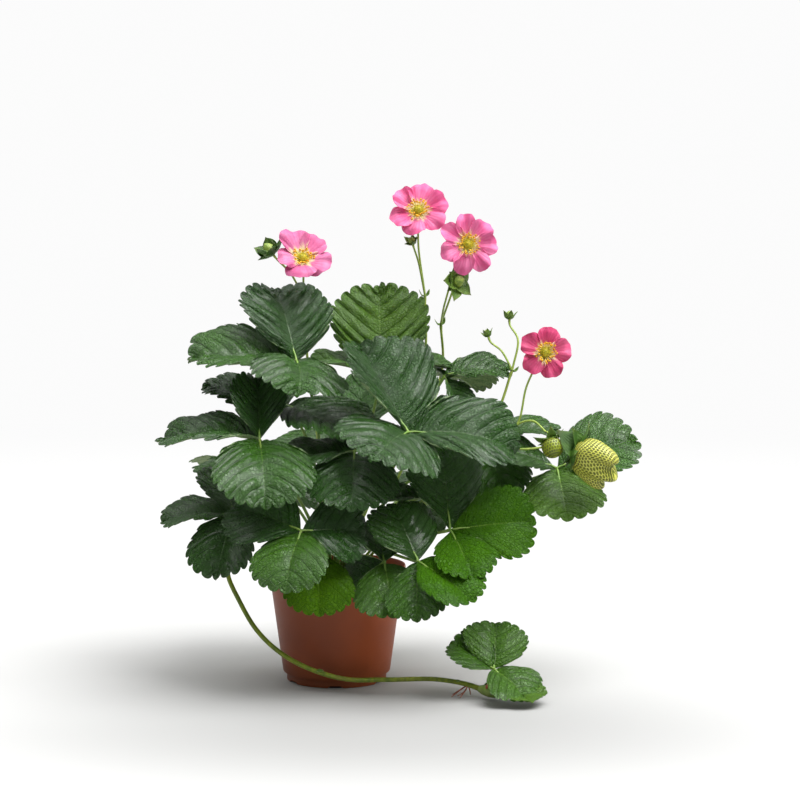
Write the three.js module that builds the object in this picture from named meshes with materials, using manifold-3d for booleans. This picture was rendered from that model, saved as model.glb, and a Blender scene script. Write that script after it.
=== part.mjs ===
// A strawberry plant in a plastic nursery pot, as named solids.
//
// Millimetres, +Z up. The origin is the centre of the pot's foot, on the surface that it stands on.
// +X is the plant's right and -Y is its front.
//
// The pot holds soil, and the crown stands in the soil. Every leaf stalk, every flower truss and the runner
// stands in a socket of its own in the crown and is a separate piece. The runner arches over the rim, drops
// to the surface and carries a plantlet at its far end.

import * as THREE from 'three';
import { mergeVertices } from 'three/addons/utils/BufferGeometryUtils.js';
import Module from 'manifold-3d';

const wasm = await Module();
wasm.setup();

// ---------------------------------------------------------------- driving dimensions

const GAP = 0.3; // left between pieces that touch

const POT = {
  height: 100,
  rimRadius: 60,
  rimHeight: 9,
  wallTopRadius: 57.8,
  wallFootRadius: 46.5,
  footRadius: 43,
  footHeight: 7,
  wall: 1.3,
  floor: 2,
  sides: 20,
  notches: 6,
  notchWidth: 11,
  notchHeight: 2.6,
  drains: 4,
  drainRadius: 4,
  drainSides: 6,
  drainRing: 27,
};
const SOIL = { top: 87, lump: 1.6, rings: [38] };
const CROWN = { radius: 18.5, foot: 76, waist: 88, top: 100, sides: 10 };
const SOCKET = { depth: 8, room: 0.85, sides: 4, below: 1, above: 14 };

const STEM = {
  petiole: 1.5,
  truss: 1.35,
  pedicel: 0.95,
  runner: 2,
  sides: 5,
  pedicelSides: 4,
  stretch: 36, // length of one straight stretch of a stem
  beyond: 1, // how far a leaf stalk runs past the hub
};
const BLADE = {
  thickness: 0.9,
  halfWidth: 0.49, // of the length
  obovate: 0.22, // how far the widest part lies beyond the middle
  toothStart: 0.3, // share of the margin, from the base, that has no teeth
  toothDepth: 0.05, // of the length
  toothPeak: 0.58, // where a tooth's tip lies between its two notches
  pleat: 0.012, // how far notches rise and tips sink, of the length
  teeth: 5,
  ribPower: 3, // how strongly side veins crowd towards the base
  ribReach: 0.92,
  arch: 0.22, // how far the two halves curve back down
  stalk: 5,
  stalkWidth: 0.8,
  stalkRoot: 0.85, // where a leaflet's stalk starts, from the hub
};
const PETAL = { thickness: 0.7, disc: 4.2, discHeight: 1.2, root: 2.4, cup: 0.28, twist: 0.14, sides: 8 };
const STAMEN = { count: 9, length: 6, foot: 0.35, head: 0.8, pitch: 48 };
const SEPAL = { length: 12, thickness: 0.7, notch: 0.34, small: 0.72, count: 5 };
const BERRY = { pit: 0.7, floor: 0.35, fattest: 0.38 };

// ---------------------------------------------------------------- solids and vectors

function solidOf(geometry) {
  const plain = new THREE.BufferGeometry();
  const source = geometry.index ? geometry.toNonIndexed() : geometry;
  plain.setAttribute('position', source.getAttribute('position').clone());
  const merged = mergeVertices(plain, 1e-4);
  return new wasm.Manifold(new wasm.Mesh({
    numProp: 3,
    vertProperties: new Float32Array(merged.attributes.position.array),
    triVerts: new Uint32Array(merged.index.array),
  }));
}

function geometryOf(solid) {
  const mesh = solid.getMesh();
  const positions = new Float32Array(mesh.numVert * 3);
  for (let i = 0; i < mesh.numVert; i++) {
    const first = i * mesh.numProp;
    positions.set(mesh.vertProperties.subarray(first, first + 3), i * 3);
  }
  const geometry = new THREE.BufferGeometry();
  geometry.setAttribute('position', new THREE.BufferAttribute(positions, 3));
  geometry.setIndex(new THREE.BufferAttribute(new Uint32Array(mesh.triVerts), 1));
  return geometry;
}

function joined(solids) {
  return solids.reduce((sum, solid) => sum.add(solid));
}

function vector(list) {
  return new THREE.Vector3(...list);
}

const radians = THREE.MathUtils.degToRad;

// Unit direction from an azimuth, where 0 is +X and 90 is +Y, and a pitch above the horizon, in degrees.
function direction(azimuth, pitch) {
  const a = radians(azimuth);
  const p = radians(pitch);
  return new THREE.Vector3(Math.cos(p) * Math.cos(a), Math.cos(p) * Math.sin(a), Math.sin(p));
}

function lathe(profile, sides) {
  const points = profile.map(([r, z]) => new THREE.Vector2(r, z));
  return solidOf(new THREE.LatheGeometry(points, sides).rotateX(Math.PI / 2));
}

// A round bar along a curve, with flat ends.
function bar(curve, radius, sides = STEM.sides) {
  const section = new THREE.Shape();
  for (let i = 0; i < sides; i++) {
    const turn = (2 * Math.PI * i) / sides;
    const [x, y] = [radius * Math.cos(turn), radius * Math.sin(turn)];
    if (i === 0) section.moveTo(x, y);
    else section.lineTo(x, y);
  }
  section.closePath();
  return solidOf(new THREE.ExtrudeGeometry(section, { steps: stepsOf(curve), extrudePath: curve }));
}

// Turns a solid built round +Z so that its +Z looks along `facing`, and moves it to `place`.
function placed(solid, place, facing) {
  const turn = new THREE.Quaternion().setFromUnitVectors(new THREE.Vector3(0, 0, 1), facing);
  const matrix = new THREE.Matrix4().compose(place, turn, new THREE.Vector3(1, 1, 1));
  return solid.transform(matrix.elements);
}

// A thin plate: the same triangles on both faces, closed by a rim along its outer edges.
function plate(upper, lower, triangles) {
  const count = upper.length;
  const faces = [];
  const edges = new Map();
  for (const [a, b, c] of triangles) {
    faces.push([a, b, c], [a + count, c + count, b + count]);
    for (const [from, to] of [[a, b], [b, c], [c, a]]) {
      if (!edges.delete(`${to},${from}`)) edges.set(`${from},${to}`, [from, to]);
    }
  }
  for (const [from, to] of edges.values()) {
    faces.push([to, from, from + count], [to, from + count, to + count]);
  }
  return new wasm.Manifold(new wasm.Mesh({
    numProp: 3,
    vertProperties: new Float32Array([...upper, ...lower].flatMap((p) => p.toArray())),
    triVerts: new Uint32Array(faces.flat()),
  }));
}

// ---------------------------------------------------------------- leaflets

// A leaflet's frame: its midrib's direction, the way to its left, and the way its upper face looks.
function bladeFrame(azimuth, pitch, roll) {
  const along = direction(azimuth, pitch);
  const left = direction(azimuth + 90, 0);
  const up = along.clone().cross(left);
  const turn = radians(roll);
  return {
    along,
    side: left.clone().multiplyScalar(Math.cos(turn)).addScaledVector(up, Math.sin(turn)),
    face: up.clone().multiplyScalar(Math.cos(turn)).addScaledVector(left, -Math.sin(turn)),
  };
}

// A point of a blade, from its distance along the midrib, across it, and above its middle surface.
// The midrib droops along an arc of `bend` degrees, and both halves rise from it by `fold` degrees.
function bladePoint(blade, [x, w, h]) {
  const { along, side, face } = blade.frame;
  const curve = radians(blade.bend) / blade.length;
  const turn = curve * Math.max(x, 0);
  const forward = turn === 0 ? x : Math.sin(turn) / curve;
  const drop = turn === 0 ? 0 : (1 - Math.cos(turn)) / curve;
  const rise = Math.abs(w) * Math.sin(radians(blade.fold)) - (BLADE.arch * w * w) / blade.length + h;
  return blade.root.clone()
    .addScaledVector(along, forward + rise * Math.sin(turn))
    .addScaledVector(face, rise * Math.cos(turn) - drop)
    .addScaledVector(side, w * Math.cos(radians(blade.fold)));
}

// A point of the margin, counted in teeth from the first notch, moved out past it by a share of the length.
function marginPoint(blade, count, out) {
  const share = BLADE.toothStart + ((1 - BLADE.toothStart) * count) / (blade.teeth + 0.5);
  const angle = Math.PI * share;
  const reach = (1 - Math.cos(angle)) / 2;
  const width = BLADE.halfWidth * blade.broad * Math.sin(angle) * (1 - BLADE.obovate * Math.cos(angle));
  const lean = Math.PI * Math.min(1, share * 0.55 + 0.45);
  return {
    x: blade.length * (reach - out * Math.cos(lean)),
    w: blade.length * (width + out * Math.sin(lean)),
    rib: blade.length * BLADE.ribReach * reach ** BLADE.ribPower,
  };
}

// A toothed leaflet with its short stalk. Each half has three triangles for each tooth, fanned from the midrib.
function leaflet(hub, [azimuth, pitch, length, roll, bend, fold, broad = 1], teeth, stalk) {
  const frame = bladeFrame(azimuth, pitch, roll);
  const root = hub.clone().addScaledVector(frame.along, stalk);
  const blade = { frame, root, length, bend, fold, broad, teeth };
  const layout = [];
  const triangles = [];
  const add = (x, w, h) => layout.push([x, w, h]) - 1;
  const start = BLADE.stalkRoot - stalk;
  const end = add(start, 0, 0);
  const ribs = [add(0, 0, 0)];
  for (let i = 1; i <= teeth; i++) ribs.push(add(marginPoint(blade, i, 0).rib, 0, 0));
  const tip = add(marginPoint(blade, teeth + 0.5, BLADE.toothDepth).x, 0, 0);
  const pleat = BLADE.pleat * length;
  for (const hand of [1, -1]) {
    const face = (a, b, c) => triangles.push(hand > 0 ? [a, b, c] : [a, c, b]);
    const margin = (count, out, lift) => {
      const { x, w } = marginPoint(blade, count, out);
      return add(x, hand * w, lift);
    };
    const stalkEnd = add(start, hand * BLADE.stalkWidth, 0);
    const stalkHead = add(0, hand * BLADE.stalkWidth, 0);
    let notch = margin(0, 0, pleat);
    face(end, ribs[0], stalkHead);
    face(end, stalkHead, stalkEnd);
    face(ribs[0], notch, stalkHead);
    for (let i = 0; i < teeth; i++) {
      const tooth = margin(i + BLADE.toothPeak, BLADE.toothDepth, -pleat);
      const next = margin(i + 1, 0, pleat);
      face(ribs[i], tooth, notch);
      face(ribs[i], ribs[i + 1], tooth);
      face(ribs[i + 1], next, tooth);
      notch = next;
    }
    face(ribs[teeth], tip, notch);
  }
  const half = BLADE.thickness / 2;
  return plate(
    layout.map(([x, w, h]) => bladePoint(blade, [x, w, h + half])),
    layout.map(([x, w, h]) => bladePoint(blade, [x, w, h - half])),
    triangles,
  );
}

// ---------------------------------------------------------------- stems in the crown

const sockets = []; // one for each stem that stands in the crown

// Where a stem's curve starts, inside the crown, at an angle and a distance from the crown's axis.
function crownPoint([angle, ring]) {
  return direction(angle, 0).multiplyScalar(ring).setZ(CROWN.top - SOCKET.depth);
}

function stepsOf(curve) {
  return Math.max(1, Math.round(curve.getLength() / STEM.stretch));
}

// A plain straight hole round one end of a stem, from a little past that end.
function socket(from, to, radius) {
  const along = to.clone().sub(from).normalize();
  const low = from.clone().addScaledVector(along, -SOCKET.below);
  const high = from.clone().addScaledVector(along, SOCKET.above);
  return bar(new THREE.LineCurve3(low, high), radius + SOCKET.room, SOCKET.sides);
}

// A stem that stands in the crown, in a socket along its first straight stretch.
function standingStem(curve, radius) {
  sockets.push(socket(curve.getPoint(0), curve.getPointAt(1 / stepsOf(curve)), radius));
  return bar(curve, radius);
}

// A leaf stalk: up from the crown, then over to the leaf's hub, where it arrives at a given pitch. It runs
// straight away from the crown, or arrives with another heading.
function petiole({ hub, foot, arrive, heading }) {
  const base = crownPoint(foot);
  const head = vector(hub);
  const span = head.distanceTo(base);
  const straight = THREE.MathUtils.radToDeg(Math.atan2(head.y - base.y, head.x - base.x));
  const final = direction(heading ?? straight, arrive);
  const rise = base.clone().addScaledVector(direction(foot[0], 80), span * 0.4);
  const reach = head.clone().addScaledVector(final, -span * 0.35);
  const end = head.clone().addScaledVector(final, STEM.beyond);
  return standingStem(new THREE.CubicBezierCurve3(base, rise, reach, end), STEM.petiole);
}

function leaf(plan) {
  const hub = vector(plan.hub);
  const teeth = plan.teeth ?? BLADE.teeth;
  const stalk = plan.stalk ?? BLADE.stalk;
  return joined([petiole(plan), ...plan.leaflets.map((row) => leaflet(hub, row, teeth, stalk))]);
}

// Leaves, from the top of the plant down and then round its back. A leaflet's row holds its azimuth, pitch,
// length, roll, bend, fold and, where it isn't 1, a factor on its width.
const LEAVES = {
  leaf_top_left: { hub: [-33, -20, 278], foot: [170, 5], arrive: 45, heading: -125,
    leaflets: [[112, 58, 76, 0, 20, 14, 1.05], [190, 12, 84, -20, 25, 14], [-80, 2, 62, -12, 50, 4, 1.3]] },
  leaf_top_back: { hub: [38, 25, 260], foot: [80, 4], arrive: 80,
    leaflets: [[92, 74, 80, 0, 18, 6, 1.05], [2, 24, 60, 8, 36, 12, 1.15], [176, 28, 58, -10, 35, 12]] },
  leaf_top_right: { hub: [93, 0, 263], foot: [35, 6.5], arrive: 60,
    leaflets: [[-6, 26, 52, 25, 60, 12, 0.85], [-55, -40, 38, 0, 20, 30, 0.8], [60, 4, 56, 0, 40, 10]] },
  leaf_centre: { hub: [62, -60, 221], foot: [-50, 6], arrive: 70,
    leaflets: [[129, 50, 87, 0, 5, 30, 1.2], [-106, 6, 66, -24, 42, 0, 1.4], [-8, 8, 88, 38, 45, 14, 0.9]] },
  leaf_left: { hub: [-62, -64, 215], foot: [192, 9.5], arrive: 50,
    leaflets: [[-82, -16, 72, 0, 50, 8, 1.15], [96, 58, 56, 0, 10, 34], [172, 18, 80, -15, 45, 12, 0.85]] },
  leaf_middle: { hub: [17, -62, 205], foot: [-95, 11], arrive: 40,
    leaflets: [[-91, -22, 59, -2, 41, 3, 1.25], [73, 24, 58, 1, 19, 10, 1.21],
      [179, 3, 58, -15, 24, 8, 1.15]] },
  leaf_behind_left: { hub: [-42, -6, 238], foot: [150, 9], arrive: 50,
    leaflets: [[179, 21, 67, -17, 19, 8], [-44, -2, 74, 5, 32, 12, 1.26], [124, 17, 54, -4, 34, 14]] },
  leaf_behind_right: { hub: [128, 24, 210], foot: [8, 11], arrive: 30,
    leaflets: [[-10, 16, 60, 12, 30, 10, 0.9], [-66, -44, 58, 10, 20, 10], [84, 10, 56, 0, 30, 10]] },
  leaf_low_right: { hub: [97, -62, 139], foot: [-33, 14.5], arrive: 20, stalk: 10,
    leaflets: [[107, 75, 65, 5, 11, 7, 1.01], [-3, 10, 61, 62, 21, 6, 1.05], [-72, -20, 52, 7, 30, 8, 0.97]] },
  leaf_low_middle: { hub: [77, -56, 165], foot: [-62, 11], arrive: 36,
    leaflets: [[186, 2, 45, -18, 13, 22, 0.9], [107, 11, 46, -8, 21, 8, 1.03]] },
  leaf_front_right: { hub: [70, -92, 117], foot: [-56, 14.5], arrive: 0,
    leaflets: [[132, 60, 52, -12, 18, 4, 1.2], [-95, -47, 47, 6, 20, 1, 1.09],
      [-43, -12, 57, 20, 33, 10, 0.97]] },
  leaf_front: { hub: [42, -76, 114], foot: [-80, 14.5], arrive: 0, stalk: 4,
    leaflets: [[-77, -47, 45, 12, 18, 6, 1.32], [185, -27, 31, -48, 14, 2, 1.23],
      [100, 50, 38, 8, 13, 9, 1.2]] },
  leaf_front_left: { hub: [-26, -100, 144], foot: [-104, 14.5], arrive: 10,
    leaflets: [[-108, -30, 54, 0, 40, 6, 1.2], [6, 4, 50, 56, 30, 6, 1.15], [166, 24, 60, -50, 30, 10, 1.1]] },
  leaf_under_left: { hub: [-14, -80, 124], foot: [-128, 14.5], arrive: 0,
    leaflets: [[-84, -52, 50, 0, 20, 6, 1.15], [-175, -20, 40, -10, 20, 8]] },
  leaf_left_low: { hub: [-85, -42, 150], foot: [208, 14.5], arrive: 20,
    leaflets: [[182, 8, 56, -16, 30, 10], [-108, -36, 58, 0, 30, 10], [110, 44, 50, 0, 20, 12]] },
  leaf_right: { hub: [190, -4, 184], foot: [-9, 14.5], arrive: 30, heading: -32, stalk: 8,
    leaflets: [[0, 27, 64, 42, 20, 12, 1.15], [-84, -26, 54, 4, 25, 6, 1.3], [199, 27, 44, -28, 14, 7, 1.15]] },
  leaf_back_left: { hub: [-72, 78, 176], foot: [142, 15], arrive: 30, teeth: 4,
    leaflets: [[128, 12, 70, 0, 40, 10], [236, 8, 62, -8, 35, 10], [-30, -18, 62, 8, 20, 8, 1.15]] },
  leaf_back: { hub: [6, 104, 196], foot: [96, 14.5], arrive: 35, teeth: 4,
    leaflets: [[92, 12, 74, 0, 40, 10], [200, 8, 62, -8, 35, 10], [58, 60, 64, 0, 12, 8, 1.2]] },
  leaf_back_right: { hub: [86, 84, 164], foot: [52, 16.2], arrive: 25, teeth: 4,
    leaflets: [[48, 6, 70, 0, 40, 10], [156, 2, 60, -8, 35, 10], [-98, -30, 60, 8, 25, 8, 1.1]] },
};

// ---------------------------------------------------------------- blooms, buds and fruit, built round +Z

// A star of long and short sepals in one plate: a flat middle, from whose edge the sepals rise by `cup`
// degrees.
function calyx(radius, cup) {
  const tips = 2 * SEPAL.count;
  const lean = radians(cup);
  const inner = radius * SEPAL.notch;
  const surface = (lift) => {
    const points = [];
    for (let i = 0; i < tips; i++) {
      const turn = (2 * Math.PI * i) / tips;
      const sepal = radius * (i % 2 ? SEPAL.small : 1) - inner;
      const out = inner + sepal * Math.cos(lean) - lift * Math.sin(lean);
      const up = sepal * Math.sin(lean) + lift * Math.cos(lean);
      const between = turn + Math.PI / tips;
      points.push(new THREE.Vector3(out * Math.cos(turn), out * Math.sin(turn), up));
      points.push(new THREE.Vector3(inner * Math.cos(between), inner * Math.sin(between), lift));
    }
    return points;
  };
  const triangles = [];
  for (let i = 0; i < tips; i++) triangles.push([(2 * i - 1 + 2 * tips) % (2 * tips), 2 * i, 2 * i + 1]);
  for (let i = 1; i + 1 < tips; i++) triangles.push([1, 2 * i + 1, 2 * i + 3]);
  return plate(surface(SEPAL.thickness / 2), surface(-SEPAL.thickness / 2), triangles);
}

// Petals round a small disc. Each petal twists a little, so that it lies over one neighbour and under the
// other.
function corolla({ radius, petals, turn = 0, cup = PETAL.cup }) {
  const length = radius - PETAL.root;
  const broad = (radius * 5) / petals;
  const rows = [[0, 0.14], [0.62, 0.5], [1, 0.27]];
  const disc = new THREE.CylinderGeometry(PETAL.disc, PETAL.disc, PETAL.discHeight, PETAL.sides);
  const pieces = [solidOf(disc.rotateX(Math.PI / 2))];
  for (let i = 0; i < petals; i++) {
    const heading = radians(turn) + (2 * Math.PI * i) / petals;
    const along = new THREE.Vector3(Math.cos(heading), Math.sin(heading), 0);
    const across = new THREE.Vector3(-along.y, along.x, 0);
    const surface = (lift) => rows.flatMap(([u, half], row) => [-1, 0, 1].map((c) => {
      const last = row === rows.length - 1;
      const reach = PETAL.root + length * (last && c === 0 ? 0.97 : u - (c !== 0 && last ? 0.05 : 0));
      const height = length * (cup * u * (1.3 - 0.5 * u) + 0.05 * c * c * u);
      return new THREE.Vector3(0, 0, height + c * half * broad * PETAL.twist + lift)
        .addScaledVector(along, reach)
        .addScaledVector(across, c * half * broad);
    }));
    const triangles = [];
    for (let row = 0; row + 1 < rows.length; row++) {
      for (let c = 0; c < 2; c++) {
        const a = row * 3 + c;
        triangles.push([a, a + 3, a + 4], [a, a + 4, a + 1]);
      }
    }
    pieces.push(plate(surface(PETAL.thickness / 2), surface(-PETAL.thickness / 2), triangles));
  }
  return joined(pieces);
}

// The domed middle of a flower, with its ring of stamens, standing on the corolla's disc.
function flowerMiddle() {
  const base = PETAL.discHeight / 2 + GAP;
  const pieces = [lathe([[0, base], [3.6, base], [4, base + 1.6], [2.6, base + 4], [0, base + 5]], 6)];
  for (let i = 0; i < STAMEN.count; i++) {
    const stamen = new THREE.CylinderGeometry(STAMEN.head, STAMEN.foot, STAMEN.length, 3);
    const facing = direction((360 * i) / STAMEN.count, STAMEN.pitch);
    const middle = facing.clone().multiplyScalar(2.6 + STAMEN.length / 2);
    const root = middle.add(new THREE.Vector3(0, 0, base + 0.4));
    pieces.push(placed(solidOf(stamen.rotateX(Math.PI / 2)), root, facing));
  }
  return joined(pieces);
}

// A closed bud in its sepals.
function bud([radius, sepals, cup]) {
  const egg = lathe([[0, -0.6], [radius * 0.7, 0], [radius, radius * 0.8], [radius * 0.6, radius * 1.7],
    [0, radius * 2.2]], 5);
  return joined([egg, calyx(sepals, cup)]);
}

// A berry that grows along +Z from its flat base. Every third point of its staggered grid is a seed in a pit,
// and the ridges between the pits are the raised net.
function berry({ length, radius, widen, flatten, lobes, rows, columns }) {
  const fat = BERRY.fattest;
  const surface = (row, column) => {
    const t = row / rows;
    const angle = (2 * Math.PI * (column + (row % 2) / 2)) / columns;
    const part = t < fat ? (fat - t) / (fat + 0.04) : (t - fat) / (1 - fat);
    const r = radius * Math.sqrt(1 - part ** (t < fat ? 2 : 3));
    const x = r * Math.cos(angle) * (1 + widen * t);
    const y = r * Math.sin(angle) * (1 - flatten * t);
    return new THREE.Vector3(x, y, length * t * (1 + lobes * Math.cos((6 * x) / radius)));
  };
  const points = [new THREE.Vector3(0, 0, 0)];
  const add = (point) => points.push(point) - 1;
  const seeds = new Set();
  for (let row = 0; row < rows; row++) {
    for (let column = 0; column < columns; column++) {
      const place = add(surface(row, column));
      const slant = column - (row - (row % 2)) / 2 - row;
      if (row > 0 && (slant + 3 * rows) % 3 === 0) seeds.add(place);
    }
  }
  const tip = add(surface(rows, 0));
  const at = (row, column) => 1 + row * columns + (column % columns);
  const net = [];
  for (let column = 0; column < columns; column++) {
    net.push([0, at(0, column + 1), at(0, column)], [at(rows - 1, column), at(rows - 1, column + 1), tip]);
    for (let row = 0; row + 1 < rows; row++) {
      const [a, b, c, d] = [at(row, column), at(row, column + 1), at(row + 1, column), at(row + 1, column + 1)];
      if (row % 2) net.push([a, b, d], [a, d, c]);
      else net.push([a, b, c], [b, d, c]);
    }
  }
  const axis = new THREE.Vector3(0, 0, length * fat);
  const floors = new Map(); // the pit floor's corner between a seed and one of its neighbours
  const floorCorner = (seed, neighbour) => {
    const key = `${seed},${neighbour}`;
    const outward = points[seed].clone().sub(axis).normalize();
    if (!floors.has(key)) {
      const corner = points[seed].clone().lerp(points[neighbour], BERRY.floor);
      floors.set(key, add(corner.addScaledVector(outward, -BERRY.pit)));
    }
    return floors.get(key);
  };
  const faces = [];
  for (const face of net) {
    const corner = face.findIndex((index) => seeds.has(index));
    if (corner < 0) {
      faces.push(face);
      continue;
    }
    const [seed, a, b] = [0, 1, 2].map((step) => face[(corner + step) % 3]);
    const [floorA, floorB] = [floorCorner(seed, a), floorCorner(seed, b)];
    faces.push([a, b, floorB], [a, floorB, floorA], [floorA, floorB, seed]);
  }
  return new wasm.Manifold(new wasm.Mesh({
    numProp: 3,
    vertProperties: new Float32Array(points.flatMap((p) => p.toArray())),
    triVerts: new Uint32Array(faces.flat()),
  }));
}

// ---------------------------------------------------------------- trusses
// A truss has a main stalk from the crown through `stalk`, and branches that leave its last point. A branch
// passes `via` and ends at a head, which sits at `at` and looks along `facing`.

const TRUSSES = {
  truss_left: {
    foot: [118, 9.5],
    stalk: [[-14, 36, 180], [-26, 50, 270], [-30, 44, 330]],
    branches: [
      { via: [[-29, 34, 350]], flower: 'flower_left', at: [-29, 15, 363],
        facing: [-82, 36], radius: 28, petals: 5, cup: 0.45 },
      { via: [[-40, 32, 350]], bud: [6, 16, 40], at: [-55, 24, 367], facing: [205, 50] },
    ],
  },
  truss_middle: {
    foot: [75, 9.5],
    stalk: [[42, 52, 180], [76, 66, 270], [77, 60, 330]],
    branches: [
      { via: [[71, 44, 375]], flower: 'flower_top', at: [71, 30, 404],
        facing: [-92, 28], radius: 28, petals: 6 },
      { via: [[71, 44, 360]], bud: [3.6, 8.5, 35], at: [66, 36, 376], facing: [-110, 50] },
    ],
  },
  truss_right: {
    foot: [45, 11.5],
    stalk: [[58, 44, 180], [92, 70, 262], [91, 56, 305]],
    branches: [
      { via: [[104, 28, 345]], flower: 'flower_right', at: [113, 5, 376],
        facing: [-84, 10], radius: 28, petals: 7 },
      { via: [[94, 24, 325]], bud: [5, 16, 15], at: [103, 8, 344], facing: [-50, 10] },
    ],
  },
  truss_buds: {
    foot: [28, 15],
    stalk: [[94, 10, 185], [136, -12, 230], [151, -8, 269]],
    branches: [
      { via: [[156, -2, 295]], bud: [3.6, 8.5, 50], at: [149, 6, 312], facing: [100, 75] },
      { via: [[142, -2, 285]], bud: [3.2, 7.5, 50], at: [131, 6, 297], facing: [140, 65] },
    ],
  },
  truss_fruit: {
    foot: [10, 15.5],
    stalk: [[70, -10, 150], [118, -20, 186], [142, -22, 205]],
    branches: [
      { via: [[156, -20, 226], [163, -20, 257]], flower: 'flower_low', at: [178, -20, 285], facing: [-84, 8],
        radius: 24, petals: 5 },
      { via: [[156, -21, 224], [168, -25, 227], [178, -36, 219]], fruit: 'fruit_small', at: [181, -46, 214],
        facing: [-60, -60], sepals: 11 },
      { via: [[160, -26, 203], [182, -30, 206]], fruit: 'fruit_large', at: [203, -50, 207], facing: [-24, -36],
        sepals: 20 },
    ],
  },
};
const FRUITS = {
  fruit_small: { length: 17, radius: 9, widen: 0, flatten: 0, lobes: 0, rows: 4, columns: 9 },
  fruit_large: { length: 40, radius: 17, widen: 0.4, flatten: 0.4, lobes: 0.1, rows: 7, columns: 12 },
};

function truss({ foot, stalk, branches }) {
  const points = [crownPoint(foot), ...stalk.map(vector)];
  const fork = points[points.length - 1];
  const solids = [standingStem(new THREE.CatmullRomCurve3(points), STEM.truss)];
  for (const branch of branches) {
    const place = vector(branch.at);
    const facing = direction(...branch.facing);
    const seat = branch.bud ? 0 : GAP + SEPAL.thickness / 2 + (branch.flower ? PETAL.discHeight / 2 : 0);
    const back = place.clone().addScaledVector(facing, -seat);
    const behind = place.clone().addScaledVector(facing, -seat - 5);
    const route = [fork, ...branch.via.map(vector), behind, back];
    solids.push(bar(new THREE.CatmullRomCurve3(route), STEM.pedicel, STEM.pedicelSides));
    if (branch.bud) solids.push(placed(bud(branch.bud), place, facing));
    else solids.push(placed(calyx(branch.sepals ?? SEPAL.length, 0), back, facing));
  }
  return joined(solids);
}

// ---------------------------------------------------------------- runner and plantlet

const RUNNER = {
  foot: [178, 14.5],
  route: [
    [-34, -8, 126], [-66, -26, 128], [-89, -38, 116], [-91, -42, 99], [-81, -46, 76], [-66, -52, 52],
    [-46, -58, 34], [-21, -62, 21], [10, -66, 13], [45, -68, 13], [85, -71, 14], [110, -76, 11],
    [124, -82, 7.5],
  ],
};
const PLANTLET = {
  crown: { from: [121, -81, 8.2], to: [138, -90, 5.6], radius: 5, sides: 7 },
  stalk: 2,
  leaves: [
    { hub: [133, -86, 26], teeth: 4, leaflets: [[165, 36, 40, -30, 20, 12, 1.1], [82, 58, 42, 12, 25, 10, 1.3],
      [-45, -14, 40, 8, 34, 8, 1.35]] },
    { hub: [152, -103, 7], teeth: 3, leaflets: [[-66, 4, 23, 0, 6, 10, 1.2], [2, 12, 22, 10, 10, 10, 1.1]] },
  ],
};
const ROOTS = { from: [112, -77, 10.6], tips: [[99, -73, 1], [105, -84, 0.8], [114, -72, 0.8]], radius: 0.8 };

const runnerLine = new THREE.CatmullRomCurve3([crownPoint(RUNNER.foot), ...RUNNER.route.map(vector)]);

function runner() {
  const start = vector(ROOTS.from);
  const roots = ROOTS.tips.map((tip) => bar(new THREE.LineCurve3(start, vector(tip)), ROOTS.radius, 4));
  return joined([standingStem(runnerLine, STEM.runner), ...roots]);
}

// The plantlet's crown takes the runner's end in a plain hole.
function plantlet() {
  const { from, to, radius, sides } = PLANTLET.crown;
  const solids = [bar(new THREE.LineCurve3(vector(from), vector(to)), radius, sides)];
  for (const { hub, teeth, leaflets } of PLANTLET.leaves) {
    const head = vector(hub);
    const base = vector(to).lerp(vector(from), 0.4);
    const beyond = head.clone().sub(base).setLength(STEM.beyond).add(head);
    solids.push(bar(new THREE.LineCurve3(base, beyond), STEM.petiole));
    solids.push(...leaflets.map((row) => leaflet(head, row, teeth, PLANTLET.stalk)));
  }
  const before = runnerLine.getPointAt(1 - 1 / stepsOf(runnerLine));
  return joined(solids).subtract(socket(runnerLine.getPoint(1), before, STEM.runner));
}

// ---------------------------------------------------------------- pot, soil and crown

function turned(solid, degrees) {
  return solid.rotate([0, 0, degrees]);
}

function pot() {
  const { height, rimRadius, rimHeight, wall, floor, footHeight, footRadius } = POT;
  const under = height - rimHeight;
  const inside = POT.wallFootRadius - wall;
  let body = lathe([
    [0, 0], [footRadius, 0], [footRadius, footHeight], [POT.wallFootRadius, footHeight + 1],
    [POT.wallTopRadius, under], [rimRadius, under], [rimRadius, height], [rimRadius - wall, height],
    [POT.wallTopRadius - wall, under],
    [inside, footHeight + 1 + wall], [footRadius - wall, footHeight], [footRadius - wall, floor], [0, floor],
  ], POT.sides);
  const notch = solidOf(new THREE.BoxGeometry(2 * wall + 4, POT.notchWidth, 2 * POT.notchHeight)
    .translate(footRadius, 0, 0));
  for (let i = 0; i < POT.notches; i++) body = body.subtract(turned(notch, (360 * (i + 0.5)) / POT.notches));
  const drain = solidOf(new THREE.CylinderGeometry(POT.drainRadius, POT.drainRadius, 4 * floor, POT.drainSides)
    .rotateX(Math.PI / 2).translate(POT.drainRing, 0, 0));
  for (let i = 0; i < POT.drains; i++) body = body.subtract(turned(drain, (360 * i) / POT.drains));
  return body;
}

// The crown's outline, grown outward by `room` for the hole that it stands in.
function crownSolid(room) {
  const { radius, foot, waist, top, sides } = CROWN;
  return lathe([
    [0, foot - room], [radius * 0.6 + room, foot - room], [radius + room, waist], [radius + room, waist + 4],
    [radius * 0.8 + room, top - 1], [radius * 0.4, top + room], [0, top + room],
  ], sides);
}

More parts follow.
